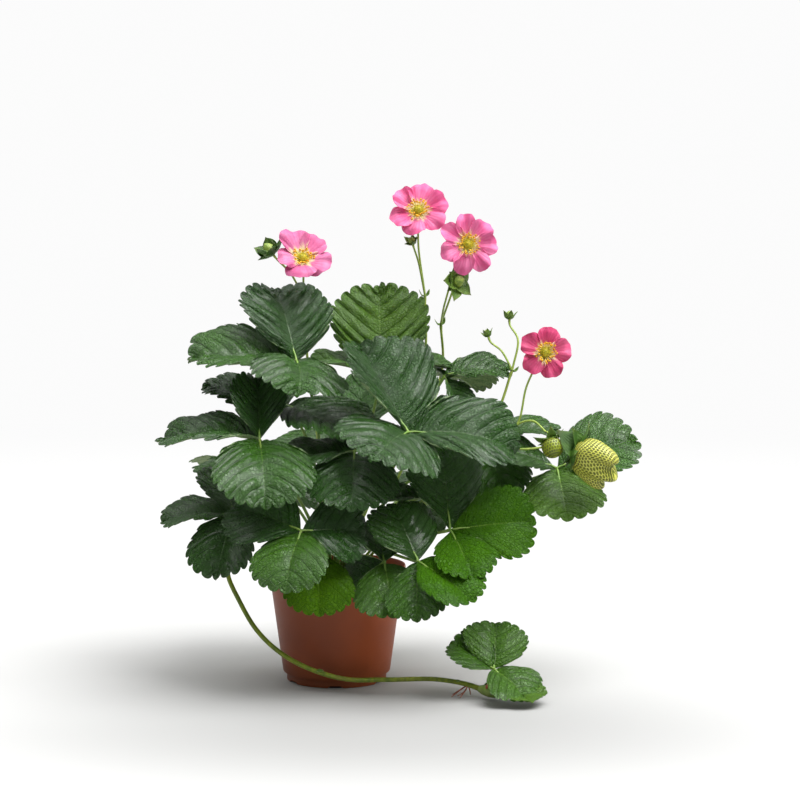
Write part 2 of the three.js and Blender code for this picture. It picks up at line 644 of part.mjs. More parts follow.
// The soil's top is a little lumpy.
function soil() {
  const slope = (POT.wallTopRadius - POT.wallFootRadius) / (POT.height - POT.rimHeight - POT.footHeight - 1);
  const low = POT.footHeight + 1 + POT.wall;
  const inside = (z) => POT.wallFootRadius - POT.wall - 2 * GAP + slope * (z - low);
  const profile = [
    [0, POT.floor + GAP], [POT.footRadius - POT.wall - GAP, POT.floor + GAP],
    [POT.footRadius - POT.wall - GAP, POT.footHeight], [inside(low + 1), low + 1], [inside(SOIL.top), SOIL.top],
    ...SOIL.rings.map((r) => [r, SOIL.top]), [0, SOIL.top],
  ];
  const geometry = new THREE.LatheGeometry(profile.map(([r, z]) => new THREE.Vector2(r, z)), POT.sides);
  geometry.rotateX(Math.PI / 2);
  const place = geometry.getAttribute('position');
  for (let i = 0; i < place.count; i++) {
    const [x, y, z] = [place.getX(i), place.getY(i), place.getZ(i)];
    const r = Math.hypot(x, y);
    if (z < SOIL.top - 1e-3 || r > SOIL.rings[0] + 1) continue;
    place.setZ(i, z + SOIL.lump * Math.sin(x * 0.21 + r * 0.3) * Math.cos(y * 0.17 - r * 0.2));
  }
  return solidOf(geometry).subtract(crownSolid(GAP));
}

// ---------------------------------------------------------------- the object

const strawberry = new THREE.Group();

function addPiece(name, solid, color, roughness) {
  const material = new THREE.MeshStandardMaterial({ color, roughness, metalness: 0 });
  const mesh = new THREE.Mesh(geometryOf(solid), material);
  mesh.name = name;
  strawberry.add(mesh);
}

addPiece('pot', pot(), '#8e4a34', 0.5);
addPiece('soil', soil(), '#3a2a1e', 0.95);

for (const [name, plan] of Object.entries(LEAVES)) addPiece(name, leaf(plan), '#2f6a2c', 0.5);

for (const [name, plan] of Object.entries(TRUSSES)) {
  addPiece(name, truss(plan), '#7d9a2c', 0.6);
  for (const head of plan.branches) {
    const place = vector(head.at);
    const facing = direction(...head.facing);
    if (head.flower) {
      addPiece(`${head.flower}_petals`, placed(corolla(head), place, facing), '#e86fa0', 0.6);
      addPiece(`${head.flower}_middle`, placed(flowerMiddle(), place, facing), '#d8b32c', 0.7);
    }
    if (head.fruit) addPiece(head.fruit, placed(berry(FRUITS[head.fruit]), place, facing), '#b9bf55', 0.5);
  }
}

addPiece('runner', runner(), '#6f8a26', 0.6);
addPiece('plantlet', plantlet(), '#3f7a2c', 0.5);
addPiece('crown', sockets.reduce((body, hole) => body.subtract(hole), crownSolid(0)), '#6a6a35', 0.8);

export default strawberry;
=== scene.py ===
# %% [markdown]
# # A potted strawberry plant
#
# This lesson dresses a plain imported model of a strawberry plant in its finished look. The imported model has
# a solid for each leaf, flower truss, fruit, runner, crown, soil and pot. Here each of them gets a finer
# mesh of the same form in the same place, and a material worked out from formulas.
#
# Lengths are written in millimetres and turned into metres once, when a mesh is made. +Z is up, -Y is the
# front of the plant, and the origin is the middle of the pot's foot.

import math

import bpy
import numpy as np
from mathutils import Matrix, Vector
from mathutils.geometry import delaunay_2d_cdt


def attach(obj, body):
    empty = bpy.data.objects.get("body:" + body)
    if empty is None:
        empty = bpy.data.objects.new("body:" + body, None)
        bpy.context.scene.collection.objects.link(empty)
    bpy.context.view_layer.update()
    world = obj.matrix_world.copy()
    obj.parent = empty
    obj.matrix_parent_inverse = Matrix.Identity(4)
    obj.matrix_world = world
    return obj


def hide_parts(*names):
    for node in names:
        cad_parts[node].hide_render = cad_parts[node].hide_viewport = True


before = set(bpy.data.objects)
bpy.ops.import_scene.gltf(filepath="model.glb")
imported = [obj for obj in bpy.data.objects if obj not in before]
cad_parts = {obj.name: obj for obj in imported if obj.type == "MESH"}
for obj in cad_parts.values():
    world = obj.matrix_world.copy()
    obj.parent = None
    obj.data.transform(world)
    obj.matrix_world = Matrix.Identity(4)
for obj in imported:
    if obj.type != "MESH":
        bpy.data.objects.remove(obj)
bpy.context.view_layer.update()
MM = 0.001

# %% [markdown]
# ## Shader maths as plain expressions
#
# A procedural material is a long sum of small steps, and a node tree makes such a sum hard to read. So one
# small class stands for the output of a node. Adding to it, taking from it or multiplying it makes the Math
# node that does so, and the formula for a leaf vein can then be written down as it is said. A plain tuple
# stands for a colour or a vector, and joins through a Vector Math node instead.

# %% A socket that can be calculated with


class Value:
    """The output of a shader node, which joins with numbers and other values in an expression."""

    def __init__(self, paint, socket):
        self.paint, self.socket = paint, socket

    def math(self, operation, *others):
        return self.paint.node("ShaderNodeMath", {"operation": operation}, dict(enumerate((self, *others))))

    def vector(self, operation, *others, output="Vector"):
        return self.paint.node("ShaderNodeVectorMath", {"operation": operation},
                               dict(enumerate((self, *others))), output)

    def __add__(self, other):
        return self.vector("ADD", other) if isinstance(other, tuple) else self.math("ADD", other)

    def __sub__(self, other):
        return self.math("SUBTRACT", other)

    def __rsub__(self, other):
        return (self * -1) + other

    def __mul__(self, other):
        return self.vector("MULTIPLY", other) if isinstance(other, tuple) else self.math("MULTIPLY", other)

    __radd__, __rmul__ = __add__, __mul__

    def wave(self):
        return self.math("SINE")

    def size(self):
        return self.math("ABSOLUTE")

    def part(self):
        return self.math("FRACT")

    def distance(self):
        return self.vector("LENGTH", output="Value")

    def axis(self, name):
        return self.paint.node("ShaderNodeSeparateXYZ", {}, {"Vector": self}, name)

    def ramp(self, low, high, to_low=0.0, to_high=1.0):
        """Goes smoothly from to_low to to_high as the value goes from low to high."""
        return self.paint.node("ShaderNodeMapRange", {"interpolation_type": "SMOOTHSTEP"},
                               {"Value": self, "From Min": low, "From Max": high,
                                "To Min": to_low, "To Max": to_high}, "Result")


class Paint:
    """The nodes that colour a material or a sky, whose own starting nodes are taken out first."""

    def __init__(self, owner):
        self.owner = bpy.data.materials.new(owner) if isinstance(owner, str) else owner
        self.owner.use_nodes = True
        self.tree = self.owner.node_tree
        self.tree.nodes.clear()
        self.places = {}

    def node(self, kind, settings=None, inputs=None, output=0):
        made = self.tree.nodes.new(kind)
        for name, value in (settings or {}).items():
            setattr(made, name, value)
        for name, value in (inputs or {}).items():
            if isinstance(value, Value):
                self.tree.links.new(value.socket, made.inputs[name])
            elif made.inputs[name].type == "RGBA":
                made.inputs[name].default_value = (*value[:3], 1.0)
            else:
                made.inputs[name].default_value = value
        return Value(self, made.outputs[output])

    def stored(self, name):
        """A number that the mesh stores at each point."""
        return self.node("ShaderNodeAttribute", {"attribute_name": name}, output="Fac")

    def place(self, scale=(1, 1, 1)):
        """Where a point is on the object, in metres, stretched by a scale."""
        if scale not in self.places:
            self.places[scale] = self.node("ShaderNodeTexCoord", output="Object") * scale
        return self.places[scale]

    def noise(self, scale, detail=3.0, stretch=(1, 1, 1)):
        return self.node("ShaderNodeTexNoise", {}, {"Vector": self.place(stretch), "Scale": scale,
                                                    "Detail": detail}, "Fac")

    def cells(self, scale):
        """How far a point lies from the walls of a net of cells."""
        return self.node("ShaderNodeTexVoronoi", {"feature": "DISTANCE_TO_EDGE"},
                         {"Vector": self.place(), "Scale": scale}, "Distance")

    def mix(self, share, low, high):
        """A colour between two colours."""
        return self.node("ShaderNodeMix", {"data_type": "RGBA"}, {0: share, 6: low, 7: high}, 2)

    def bump(self, height, distance):
        """Turns a height into a tilt of the surface. The distance is in millimetres."""
        return self.node("ShaderNodeBump", {}, {"Height": height, "Distance": distance * MM, "Strength": 1.0},
                         "Normal")

    def finish(self, surface, kind="ShaderNodeOutputMaterial"):
        end = self.tree.nodes.new(kind)
        self.tree.links.new(surface.socket, end.inputs["Surface"])
        return self.owner

    def shader(self, inputs):
        return self.node("ShaderNodeBsdfPrincipled", {}, inputs, "BSDF")

    def see_through(self, shader, tint, share):
        """Lets a share of the light through a thin leaf or petal, coloured by its tint."""
        glow = self.node("ShaderNodeBsdfTranslucent", {}, {"Color": tint}, "BSDF")
        return self.node("ShaderNodeMixShader", {}, {0: share, 1: shader, 2: glow}, "Shader")


print("shader helpers ready")

# %% [markdown]
# ## Meshes from lists of points
#
# Leaves, petals and stems are all made the same way: a formula gives rows of points, the rows are joined by
# quads, and a number or two is stored at each point for the material to read, such as how far the point
# lies from the nearest vein. Numpy works out thousands of points in one step, which keeps the script quick.

# %% Vectors and the mesh builder
UP, EAST = np.array([0.0, 0.0, 1.0]), np.array([1.0, 0.0, 0.0])
HAIR_RADIUS = 0.07
chance = np.random.default_rng(41)


def unit(vectors):
    """The same ways with a length of one."""
    return vectors / np.maximum(np.linalg.norm(vectors, axis=-1, keepdims=True), 1e-12)


def direction(azimuth, pitch):
    """The way towards an azimuth, where 0 is +X and 90 is +Y, at a pitch above the horizon, in degrees."""
    a, p = math.radians(azimuth), math.radians(pitch)
    return np.array([math.cos(p) * math.cos(a), math.cos(p) * math.sin(a), math.sin(p)])


def circle(count):
    """The angles of evenly spaced places round a circle."""
    return np.arange(count) * 2 * math.pi / count


def turned(radii, heights, turn):
    """Rings of points round +Z, from a column of radii and a column of heights."""
    return np.stack(np.broadcast_arrays(radii * np.cos(turn), radii * np.sin(turn), heights + 0 * turn), -1)


def compass(heading):
    """The level way towards a heading in radians, and the way to its left."""
    along = np.array([math.cos(heading), math.sin(heading), 0])
    return along, np.array([-along[1], along[0], 0])


def smooth(low, high, x):
    """A soft step from 0 at low to 1 at high."""
    t = np.clip((x - low) / (high - low), 0, 1)
    return t * t * (3 - 2 * t)


def placed(points, place, facing):
    """Points built round +Z, turned so that +Z looks along facing, and moved to a place."""
    axis, cosine = np.cross(UP, facing), float(UP @ facing)
    cross = np.array([[0, -axis[2], axis[1]], [axis[2], 0, -axis[0]], [-axis[1], axis[0], 0]])
    turn = np.eye(3) + cross + cross @ cross / (1 + cosine)
    return np.asarray(points) @ turn.T + place


def grid_faces(rows, columns, around=False):
    """Quads between the points of a grid, stored row by row. around joins the last column to the first."""
    last = columns if around else columns - 1
    i, j = np.meshgrid(np.arange(rows - 1), np.arange(last), indexing="ij")
    a, b = i * columns + j, i * columns + (j + 1) % columns
    return np.stack([a, b, b + columns, a + columns], -1).reshape(-1, 4)


def capped_faces(rows, columns):
    """Faces of a tube whose two end points are stored after its rings."""
    ring, count = np.arange(columns), rows * columns
    following = np.roll(ring, -1)
    first = np.stack([following, ring, np.full(columns, count)], -1)
    last = np.stack([ring + count - columns, following + count - columns, np.full(columns, count + 1)], -1)
    return [grid_faces(rows, columns, around=True), first, last]


class Build:
    """Gathers the points, faces and stored numbers of one piece."""

    def __init__(self):
        self.points, self.faces, self.stored, self.count = [], [], [], 0

    def add(self, points, faces, material=0, **stored):
        points = np.asarray(points, float).reshape(-1, 3)
        for some in faces if isinstance(faces, list) else [faces]:
            self.faces.append((np.asarray(some) + self.count, material))
        self.points.append(points)
        self.stored.append((len(points), stored))
        self.count += len(points)

    def make(self, node, slot, materials, crease=60):
        """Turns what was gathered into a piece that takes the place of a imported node."""
        name = f"{node}_fine"
        mesh = bpy.data.meshes.new(name)
        points = np.concatenate(self.points) * MM
        sizes = np.concatenate([np.full(len(f), f.shape[1]) for f, _ in self.faces])
        mesh.vertices.add(len(points))
        mesh.vertices.foreach_set("co", points.astype(np.float32).ravel())
        mesh.loops.add(int(sizes.sum()))
        corners = np.concatenate([f.ravel() for f, _ in self.faces])
        mesh.loops.foreach_set("vertex_index", corners.astype(np.int32))
        mesh.polygons.add(len(sizes))
        mesh.polygons.foreach_set("loop_start", (np.cumsum(sizes) - sizes).astype(np.int32))
        which = np.concatenate([np.full(len(f), m) for f, m in self.faces]).astype(np.int32)
        mesh.polygons.foreach_set("material_index", which)
        for key in sorted({key for _, stored in self.stored for key in stored}):
            numbers = [np.broadcast_to(stored.get(key, 0.0), n) for n, stored in self.stored]
            layer = mesh.attributes.new(key, "FLOAT", "POINT")
            layer.data.foreach_set("value", np.concatenate(numbers).astype(np.float32))
        mesh.update(calc_edges=True)
        mesh.validate()
        mesh.shade_smooth()
        mesh.set_sharp_from_angle(angle=math.radians(crease))
        for material in materials:
            mesh.materials.append(material)
        piece = bpy.data.objects.new(name, mesh)
        bpy.context.scene.collection.objects.link(piece)
        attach(piece, "root")
        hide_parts(node)
        totals[name] = int((sizes - 2).sum())


totals = {}  # triangles of each piece
edge_lists = {}  # the open edges of each kind of sheet, so that they are found once


def open_edges(faces):
    """The edges that only one face has."""
    key = (len(faces), int(faces.max()), int(faces.sum()))
    if key not in edge_lists:
        edges = np.stack([faces, np.roll(faces, -1, axis=1)], -1).reshape(-1, 2)
        low, high = edges.min(1).astype(np.int64), edges.max(1).astype(np.int64)
        code = low * (int(faces.max()) + 1) + high
        _, first, times = np.unique(code, return_index=True, return_counts=True)
        edge_lists[key] = edges[first[times == 1]]
    return edge_lists[key]


def point_normals(points, faces):
    """The way that a surface of quads faces at each of its points."""
    corners = points[faces]
    flat = np.cross(corners[:, 2] - corners[:, 0], corners[:, -1] - corners[:, 1])
    normals = np.zeros_like(points)
    for corner in range(faces.shape[1]):
        np.add.at(normals, faces[:, corner], flat)
    return unit(normals)


def add_sheet(build, points, faces, thickness, materials=(0, 0), **stored):
    """A thin closed plate: the sheet's points moved out to both sides, with a rim round the open edges."""
    normals = point_normals(points, faces) * (np.asarray(thickness) / 2).reshape(-1, 1)
    count = len(points)
    edges = open_edges(faces)
    rim = np.stack([edges[:, 1], edges[:, 0], edges[:, 0] + count, edges[:, 1] + count], -1)
    both = {key: np.tile(np.broadcast_to(numbers, count), 2) for key, numbers in stored.items()}
    build.add(np.concatenate([points + normals, points - normals]), faces, materials[0], **both)
    build.faces.append((faces[:, ::-1] + build.count - count, materials[1]))
    build.faces.append((rim + build.count - 2 * count, materials[0]))


def add_tube(build, path, radii, sides, material):
    """A round stem along a path, closed at both ends."""
    path = np.asarray(path, float)
    ahead, turn = unit(np.gradient(path, axis=0)), circle(sides)
    side = unit(np.cross(ahead[0], UP if abs(ahead[0][2]) < 0.9 else EAST))
    rings = []
    for here, way, radius in zip(path, ahead, np.broadcast_to(radii, len(path))):
        side = unit(side - way * (side @ way))
        other = np.cross(way, side)
        rings.append(here + radius * (np.outer(np.cos(turn), side) + np.outer(np.sin(turn), other)))
    build.add(np.concatenate([*rings, path[:1], path[-1:]]), capped_faces(len(path), sides), material)


def add_spikes(build, roots, ways, lengths, width, material=0):
    """Fine hairs or bristles: closed spikes with three sides."""
    roots, ways = np.asarray(roots, float), unit(np.asarray(ways, float))
    lengths = np.broadcast_to(lengths, len(roots)).reshape(-1, 1)
    side = unit(np.cross(ways, np.where(np.abs(ways[:, 2:]) < 0.9, UP, EAST)))
    other = np.cross(ways, side)
    corners = [roots + width * (math.cos(t) * side + math.sin(t) * other) for t in circle(3)]
    points = np.stack([*corners, roots + lengths * ways], 1).reshape(-1, 3)
    first = np.arange(len(roots)).reshape(-1, 1, 1) * 4
    shape = np.array([[0, 2, 1], [0, 1, 3], [1, 2, 3], [2, 0, 3]])
    build.add(points, (first + shape).reshape(-1, 3), material)


def add_hairs(build, path, radii, count, length, material, start=0.0):
    """Hairs that stand out from a stem, more or less at random."""
    path = np.asarray(path, float)
    radii = np.broadcast_to(radii, len(path))
    where = chance.uniform(start, 1, count) * (len(path) - 1)
    low = np.minimum(where.astype(int), len(path) - 2)
    share = (where - low).reshape(-1, 1)
    here = path[low] * (1 - share) + path[low + 1] * share
    way = unit(path[low + 1] - path[low])
    out = chance.normal(size=(count, 3))
    out = unit(out - way * (out * way).sum(1, keepdims=True))
    radius = (radii[low] * (1 - share[:, 0]) + radii[low + 1] * share[:, 0]).reshape(-1, 1)
    lean = unit(out + way * chance.uniform(-0.1, 0.5, (count, 1)))
    lengths = length * chance.uniform(0.6, 1.1, count)
    add_spikes(build, here + out * radius * 0.9, lean, lengths, HAIR_RADIUS, material)


def bezier(a, b, c, d, count):
    """A smooth curve from a to d that leaves towards b and arrives from c."""
    t = np.linspace(0, 1, count).reshape(-1, 1)
    return (1 - t) ** 3 * a + 3 * (1 - t) ** 2 * t * b + 3 * (1 - t) * t * t * c + t ** 3 * d


def smooth_path(points, step=3.0):
    """A smooth curve through given points: a centripetal Catmull-Rom curve."""
    points = np.asarray(points, float)
    longer = np.concatenate([[2 * points[0] - points[1]], points, [2 * points[-1] - points[-2]]])
    out = []
    for a, b, c, d in zip(longer, longer[1:], longer[2:], longer[3:]):
        ab, bc, cd = (max(float(np.linalg.norm(q - p)), 1e-6) ** 0.5 for p, q in ((a, b), (b, c), (c, d)))
        first = ((b - a) / ab - (c - a) / (ab + bc) + (c - b) / bc) * bc
        second = ((c - b) / bc - (d - b) / (bc + cd) + (d - c) / cd) * bc
        count = max(2, int(np.linalg.norm(c - b) / step))
        t = (np.arange(count) / count).reshape(-1, 1)
        out.append(b + first * t + (3 * (c - b) - 2 * first - second) * t ** 2
                   + (2 * (b - c) + first + second) * t ** 3)
    return np.concatenate([*out, points[-1:]])


print("mesh helpers ready")

# %% [markdown]
# ## The leaf's two faces
#
# A strawberry leaflet is deep green and a little waxy above, and pale, matt and downy below. Side veins run
# from the midrib to the tip of each tooth, and between them a fine net quilts the surface. The mesh stores
# how far along the row of teeth each point lies, so a side vein is simply where that number passes a
# tooth's tip. Light also comes through a leaf, which a small share of a Translucent shader gives.

# %% Paint for leaves
TOOTH_PEAK = 0.58  # where a tooth's tip lies between its two notches


def vein_distance(paint):
    """How far a point lies from the nearest side vein, counted in teeth."""
    return ((paint.stored("vein") - TOOTH_PEAK + 0.5).part() - 0.5).size()


def leaf_upper_paint(name, waxy):
    """A leaf's upper face. An old leaf is waxy, with 1, and a young one is softer and nearly matt."""
    paint = Paint(name)
    tone, across, reach = paint.stored("tone"), paint.stored("across"), paint.stored("reach")
    from_vein = vein_distance(paint)
    side_vein = from_vein.ramp(0.006, 0.04, 1, 0) * across.ramp(0.75, 1.0, 1, 0)
    midrib = paint.stored("width").ramp(0.15, 0.7, 1, 0) * reach.ramp(0.0, 0.9, 1, 0.15)
    net, fine_net = paint.cells(330).ramp(0.0, 0.14), paint.cells(800).ramp(0.0, 0.22)
    patches, pucker = paint.noise(30, 4), paint.noise(190, 3)
    deep = paint.mix(tone.ramp(0.0, 0.5), (0.019, 0.080, 0.005), (0.045, 0.145, 0.003))
    green = paint.mix(tone.ramp(0.4, 1.0), deep, (0.085, 0.20, 0.001))
    green = paint.mix(patches.ramp(0.35, 0.7) * 0.5, green, green * (0.5, 0.6, 0.55))
    # painted shade: the groove along each side vein is painted darker, more on old waxy leaves
    green = paint.mix(from_vein.ramp(0.03, 0.16, 0.2 + 0.35 * waxy, 0.0), green, green * (0.5, 0.6, 0.6))
    # painted shade: the sunken walls of the fine net are painted darker
    green = paint.mix((1 - net) * 0.3, green, green * (0.55, 0.65, 0.6))
    green = paint.mix(side_vein * 0.55, green, green * (2.6, 2.0, 2.4))
    rib = paint.mix(tone, (0.10, 0.2, 0.03), (0.24, 0.4, 0.06))
    green = paint.mix(midrib * tone.ramp(0.0, 0.6, 0.35, 0.8), green, rib)
    height = net * 1.1 + fine_net * 0.4 + pucker * 1.3 + from_vein.ramp(0.0, 0.14) * (0.4 + 0.9 * waxy)
    matt = patches.ramp(0.3, 0.75, 0.24, 0.40) + side_vein * 0.1 + tone.ramp(0.4, 0.8) * 0.14
    wax = patches.ramp(0.4, 0.6, 0.12, 0.34) * tone.ramp(0.2, 0.8, waxy, 0.4 * waxy)
    shader = paint.shader({"Base Color": green, "Roughness": matt, "Specular IOR Level": 0.5 * waxy,
                           "Coat Weight": wax, "Coat Roughness": 0.2, "Normal": paint.bump(height, 0.8)})
    return paint.finish(paint.see_through(shader, (0.11, 0.33, 0.006), 0.1))


def leaf_under_paint():
    """A leaf's pale underside, whose veins stand out."""
    paint = Paint("leaf_under_face")
    lines = vein_distance(paint).ramp(0.02, 0.09, 1, 0)
    net = paint.cells(430).ramp(0.02, 0.2)
    green = paint.mix(net, (0.27, 0.36, 0.17), (0.155, 0.245, 0.11))
    green = paint.mix(lines * 0.6, green, (0.38, 0.46, 0.2))
    shader = paint.shader({"Base Color": green, "Roughness": paint.noise(60).ramp(0.2, 0.8, 0.6, 0.75),
                           "Normal": paint.bump(lines + (1 - net) * 0.4, 0.25)})
    return paint.finish(paint.see_through(shader, (0.2, 0.42, 0.05), 0.15))


def stem_paint(name, pale, deep, blush):
    """Smooth juicy stems: pale and deep streaks, with a blush of red or brown in patches."""
    paint = Paint(name)
    streaks = paint.noise(260, 3, (1, 1, 0.25))
    green = paint.mix(streaks.ramp(0.3, 0.7), pale, deep)
    green = paint.mix(paint.noise(45).ramp(0.5, 0.75) * 0.25, green, blush)
    return paint.finish(paint.shader({"Base Color": green, "Roughness": streaks.ramp(0.2, 0.8, 0.38, 0.52),
                                      "Normal": paint.bump(streaks, 0.15)}))


def hair_paint():
    """The soft white of a stem's hairs."""
    paint = Paint("white_hair")
    cloud = paint.noise(90)
    shader = paint.shader({"Base Color": paint.mix(cloud, (0.8, 0.85, 0.62), (0.62, 0.72, 0.42)),
                           "Roughness": cloud.ramp(0.3, 0.7, 0.45, 0.6)})
    return paint.finish(paint.see_through(shader, (0.7, 0.8, 0.5), 0.4))


leaf_upper, leaf_under = leaf_upper_paint("leaf_upper_face", 1.0), leaf_under_paint()
leaf_young = leaf_upper_paint("young_leaf_face", 0.25)
leaf_stalk = stem_paint("leaf_stalk", (0.22, 0.34, 0.06), (0.13, 0.25, 0.04), (0.3, 0.2, 0.07))
truss_stalk = stem_paint("truss_stalk", (0.34, 0.44, 0.07), (0.22, 0.33, 0.045), (0.33, 0.24, 0.06))
runner_stalk = stem_paint("runner_stalk", (0.20, 0.26, 0.010), (0.10, 0.15, 0.006), (0.24, 0.13, 0.03))
hair = hair_paint()
made = [leaf_upper, leaf_young, leaf_under, leaf_stalk, truss_stalk, runner_stalk, hair]
print("leaf and stem paints:", [material.name for material in made])

# %% [markdown]
# ## Leaflets
#
# A leaflet is laid out flat first: a midrib, and on each side a margin that widens beyond the middle and is
# cut into rounded teeth. Each point is then counted in two numbers, how far along the teeth it lies and how
# far across from midrib to margin. Next come the swellings between the side veins, which are flatter on low
# and on young leaves. Last, the flat shape is bent into its pose, with a drooping midrib and halves that
# rise and arch over. Low leaves have fewer and larger teeth than high ones.

# %% The blade's measures
BLADE = {
    "thickness": 0.5,
    "half_width": 0.49,  # of the length
    "obovate": 0.22,  # how far the widest part lies beyond the middle
    "tooth_start": 0.3,  # share of the margin, from the base, that has no teeth
    "tooth_depth": 0.066,  # of the length
    "rib_power": 3.8,  # how strongly side veins crowd towards the base
    "rib_reach": 0.92,  # where the last side vein leaves the midrib
    "arch": 0.22,  # how far the two halves curve back down
    "quilt": (0.012, 0.034),  # height of the swelling between veins, of the length, on low and high leaves
    "quilt_level": (175, 240),  # heights of the hub that count as low and high
    "young_quilt": 0.6,  # how much of that swelling a young leaf has
    "valley": 0.04,  # how far the midrib is sunk between the two halves, of the length
    "stalk": 5.0,
    "base_veins": 1.5,  # side veins below the first tooth
    "round_base": 0.75,  # how far the base swells from a straight wedge to the full oval
    "swing": 0.42,  # how far side veins curve forward on their way out
}
TEETH, LOW_TEETH = 9, 7  # on each side of a high and of a low leaf's leaflets
LOW_LEAF = 190  # below this height of the hub, a leaf counts as low
UPPER, UNDER, STEM, HAIRS, YOUNG = range(5)  # a leaf's materials, by their place in its list
ACROSS = np.array([0, 0.03, 0.08, 0.15, 0.23, 0.32, 0.41, 0.5, 0.59, 0.68, 0.76, 0.84, 0.91, 0.97, 1.0])


def margin_counts(teeth, parts=8):
    """Places along one margin, counted in teeth from the first notch, down to the base and up to the tip."""
    base = np.linspace(-BLADE["base_veins"], 0, 9)[:-1]
    return np.concatenate([base, np.linspace(0, teeth + 0.5, int((teeth + 0.5) * parts) + 1)])


def flat_leaflet(length, broad, teeth, stalk):
    """The flat half leaflet: how far along the midrib and how far across it each point lies."""
    count = margin_counts(teeth)
    toothed = BLADE["tooth_start"] + (1 - BLADE["tooth_start"]) * np.maximum(count, 0) / (teeth + 0.5)
    share = np.where(count >= 0, toothed, BLADE["tooth_start"] * (1 + count / BLADE["base_veins"]))
    angle = math.pi * share
    reach = (1 - np.cos(angle)) / 2
    width = BLADE["half_width"] * broad * np.sin(angle) * (1 - BLADE["obovate"] * np.cos(angle))
    first = int(np.argmin(np.abs(count)))
    straight = 0.012 + (width[first] - 0.012) * reach / reach[first]
    width = np.where(count < 0, straight + (width - straight) * BLADE["round_base"], width)
    inside = np.clip(count, 0, None) % 1.0
    warped = np.where(inside < TOOTH_PEAK, 0.5 * inside / TOOTH_PEAK,
                      0.5 + 0.5 * (inside - TOOTH_PEAK) / (1 - TOOTH_PEAK))
    warped = np.where(count > teeth, np.minimum(count - teeth, 0.5), warped)
    out = np.where(count > 0, BLADE["tooth_depth"] * (np.sin(math.pi * warped) ** 0.5 - 0.25), 0)
    lean = math.pi * np.minimum(1, share * 0.55 + 0.45)
    margin_x, margin_w = reach - out * np.cos(lean), width + out * np.sin(lean)
    rib = BLADE["rib_reach"] * reach ** BLADE["rib_power"]
    s = ACROSS.reshape(1, -1)
    swing = BLADE["swing"] * s * (1 - s) * margin_w[:, None]
    x = rib[:, None] + (margin_x - rib)[:, None] * s - swing
    w = margin_w[:, None] * s
    back = (stalk - 0.8) * np.clip(-count / BLADE["base_veins"], 0, 1) ** 2  # the base runs down its stalk
    return count, x * length - back[:, None], w * length


def leaflet_faces(rows):
    """Quads of both halves, which share their midrib points."""
    columns = len(ACROSS)
    right = np.arange(rows * columns).reshape(rows, columns)
    left = right + rows * columns
    left[:, 0], left[-1] = right[:, 0], right[-1]
    faces = []
    for index, mirrored in ((left, False), (right, True)):
        a, b, c, d = index[:-1, :-1], index[:-1, 1:], index[1:, 1:], index[1:, :-1]
        faces.append(np.stack((a, d, c, b) if mirrored else (a, b, c, d), -1).reshape(-1, 4))
    return np.concatenate(faces)


def bend_blade(x, w, h, plan, root, frame_of_blade):
    """Bends flat points into their pose: the midrib droops along an arc, and both halves rise from it."""
    along, side, face = frame_of_blade
    curve = math.radians(plan["bend"]) / plan["length"]
    turn = curve * np.maximum(x, 0)
    forward = np.sin(turn) / curve if curve else x
    forward = np.where(x < 0, x, forward)
    drop = (1 - np.cos(turn)) / curve if curve else 0 * x
    fold = math.radians(plan["fold"])
    rise = np.abs(w) * math.sin(fold) - BLADE["arch"] * w * w / plan["length"] + h
    return (root + np.multiply.outer(forward + rise * np.sin(turn), along)
            + np.multiply.outer(rise * np.cos(turn) - drop, face)
            + np.multiply.outer(w * math.cos(fold), side))


def blade_frame(azimuth, pitch, roll):
    """The ways along a leaflet's midrib, across it, and out of its upper face."""
    along, left = direction(azimuth, pitch), direction(azimuth + 90, 0)
    up, turn = np.cross(along, left), math.radians(roll)
    side = left * math.cos(turn) + up * math.sin(turn)
    return along, side, up * math.cos(turn) - left * math.sin(turn)


def blade_height(counts, s, x, w, length, swelling):
    """How far one half of the blade rises: swellings between veins, waves, ripples and the sunk midrib."""
    a, b, c = chance.uniform(0, 2 * math.pi, 3)
    quilt = np.abs(np.sin(math.pi * (counts - TOOTH_PEAK))) ** 0.8
    bulge = swelling * length * (quilt - 0.45) * smooth(0.02, 0.35, s) * (1 - 0.4 * s * s)
    uneven = 1 + 0.5 * np.sin(counts * 2.3 + s * 4 + c) + 0.3 * np.sin(counts * 5.1 - s * 9 + a)
    wave = np.sin(x / length * 5.5 + a) * s * 0.026 + np.sin(counts * 1.3 + b) * s ** 3 * 0.03
    ripple = 0.006 * np.sin(s * 17 + counts * 2.6 + c) * quilt * smooth(0.1, 0.3, s)
    ripple = ripple + 0.004 * np.sin(s * 33 - counts * 4.3 + b) * quilt * smooth(0.2, 0.4, s)
    valley = BLADE["valley"] * length * (0.6 - np.exp(-((w / (0.13 * length)) ** 2)))
    groove = -0.5 * np.exp(-((w / 1.6) ** 2))
    return bulge * uneven + valley + (wave + ripple) * length + groove


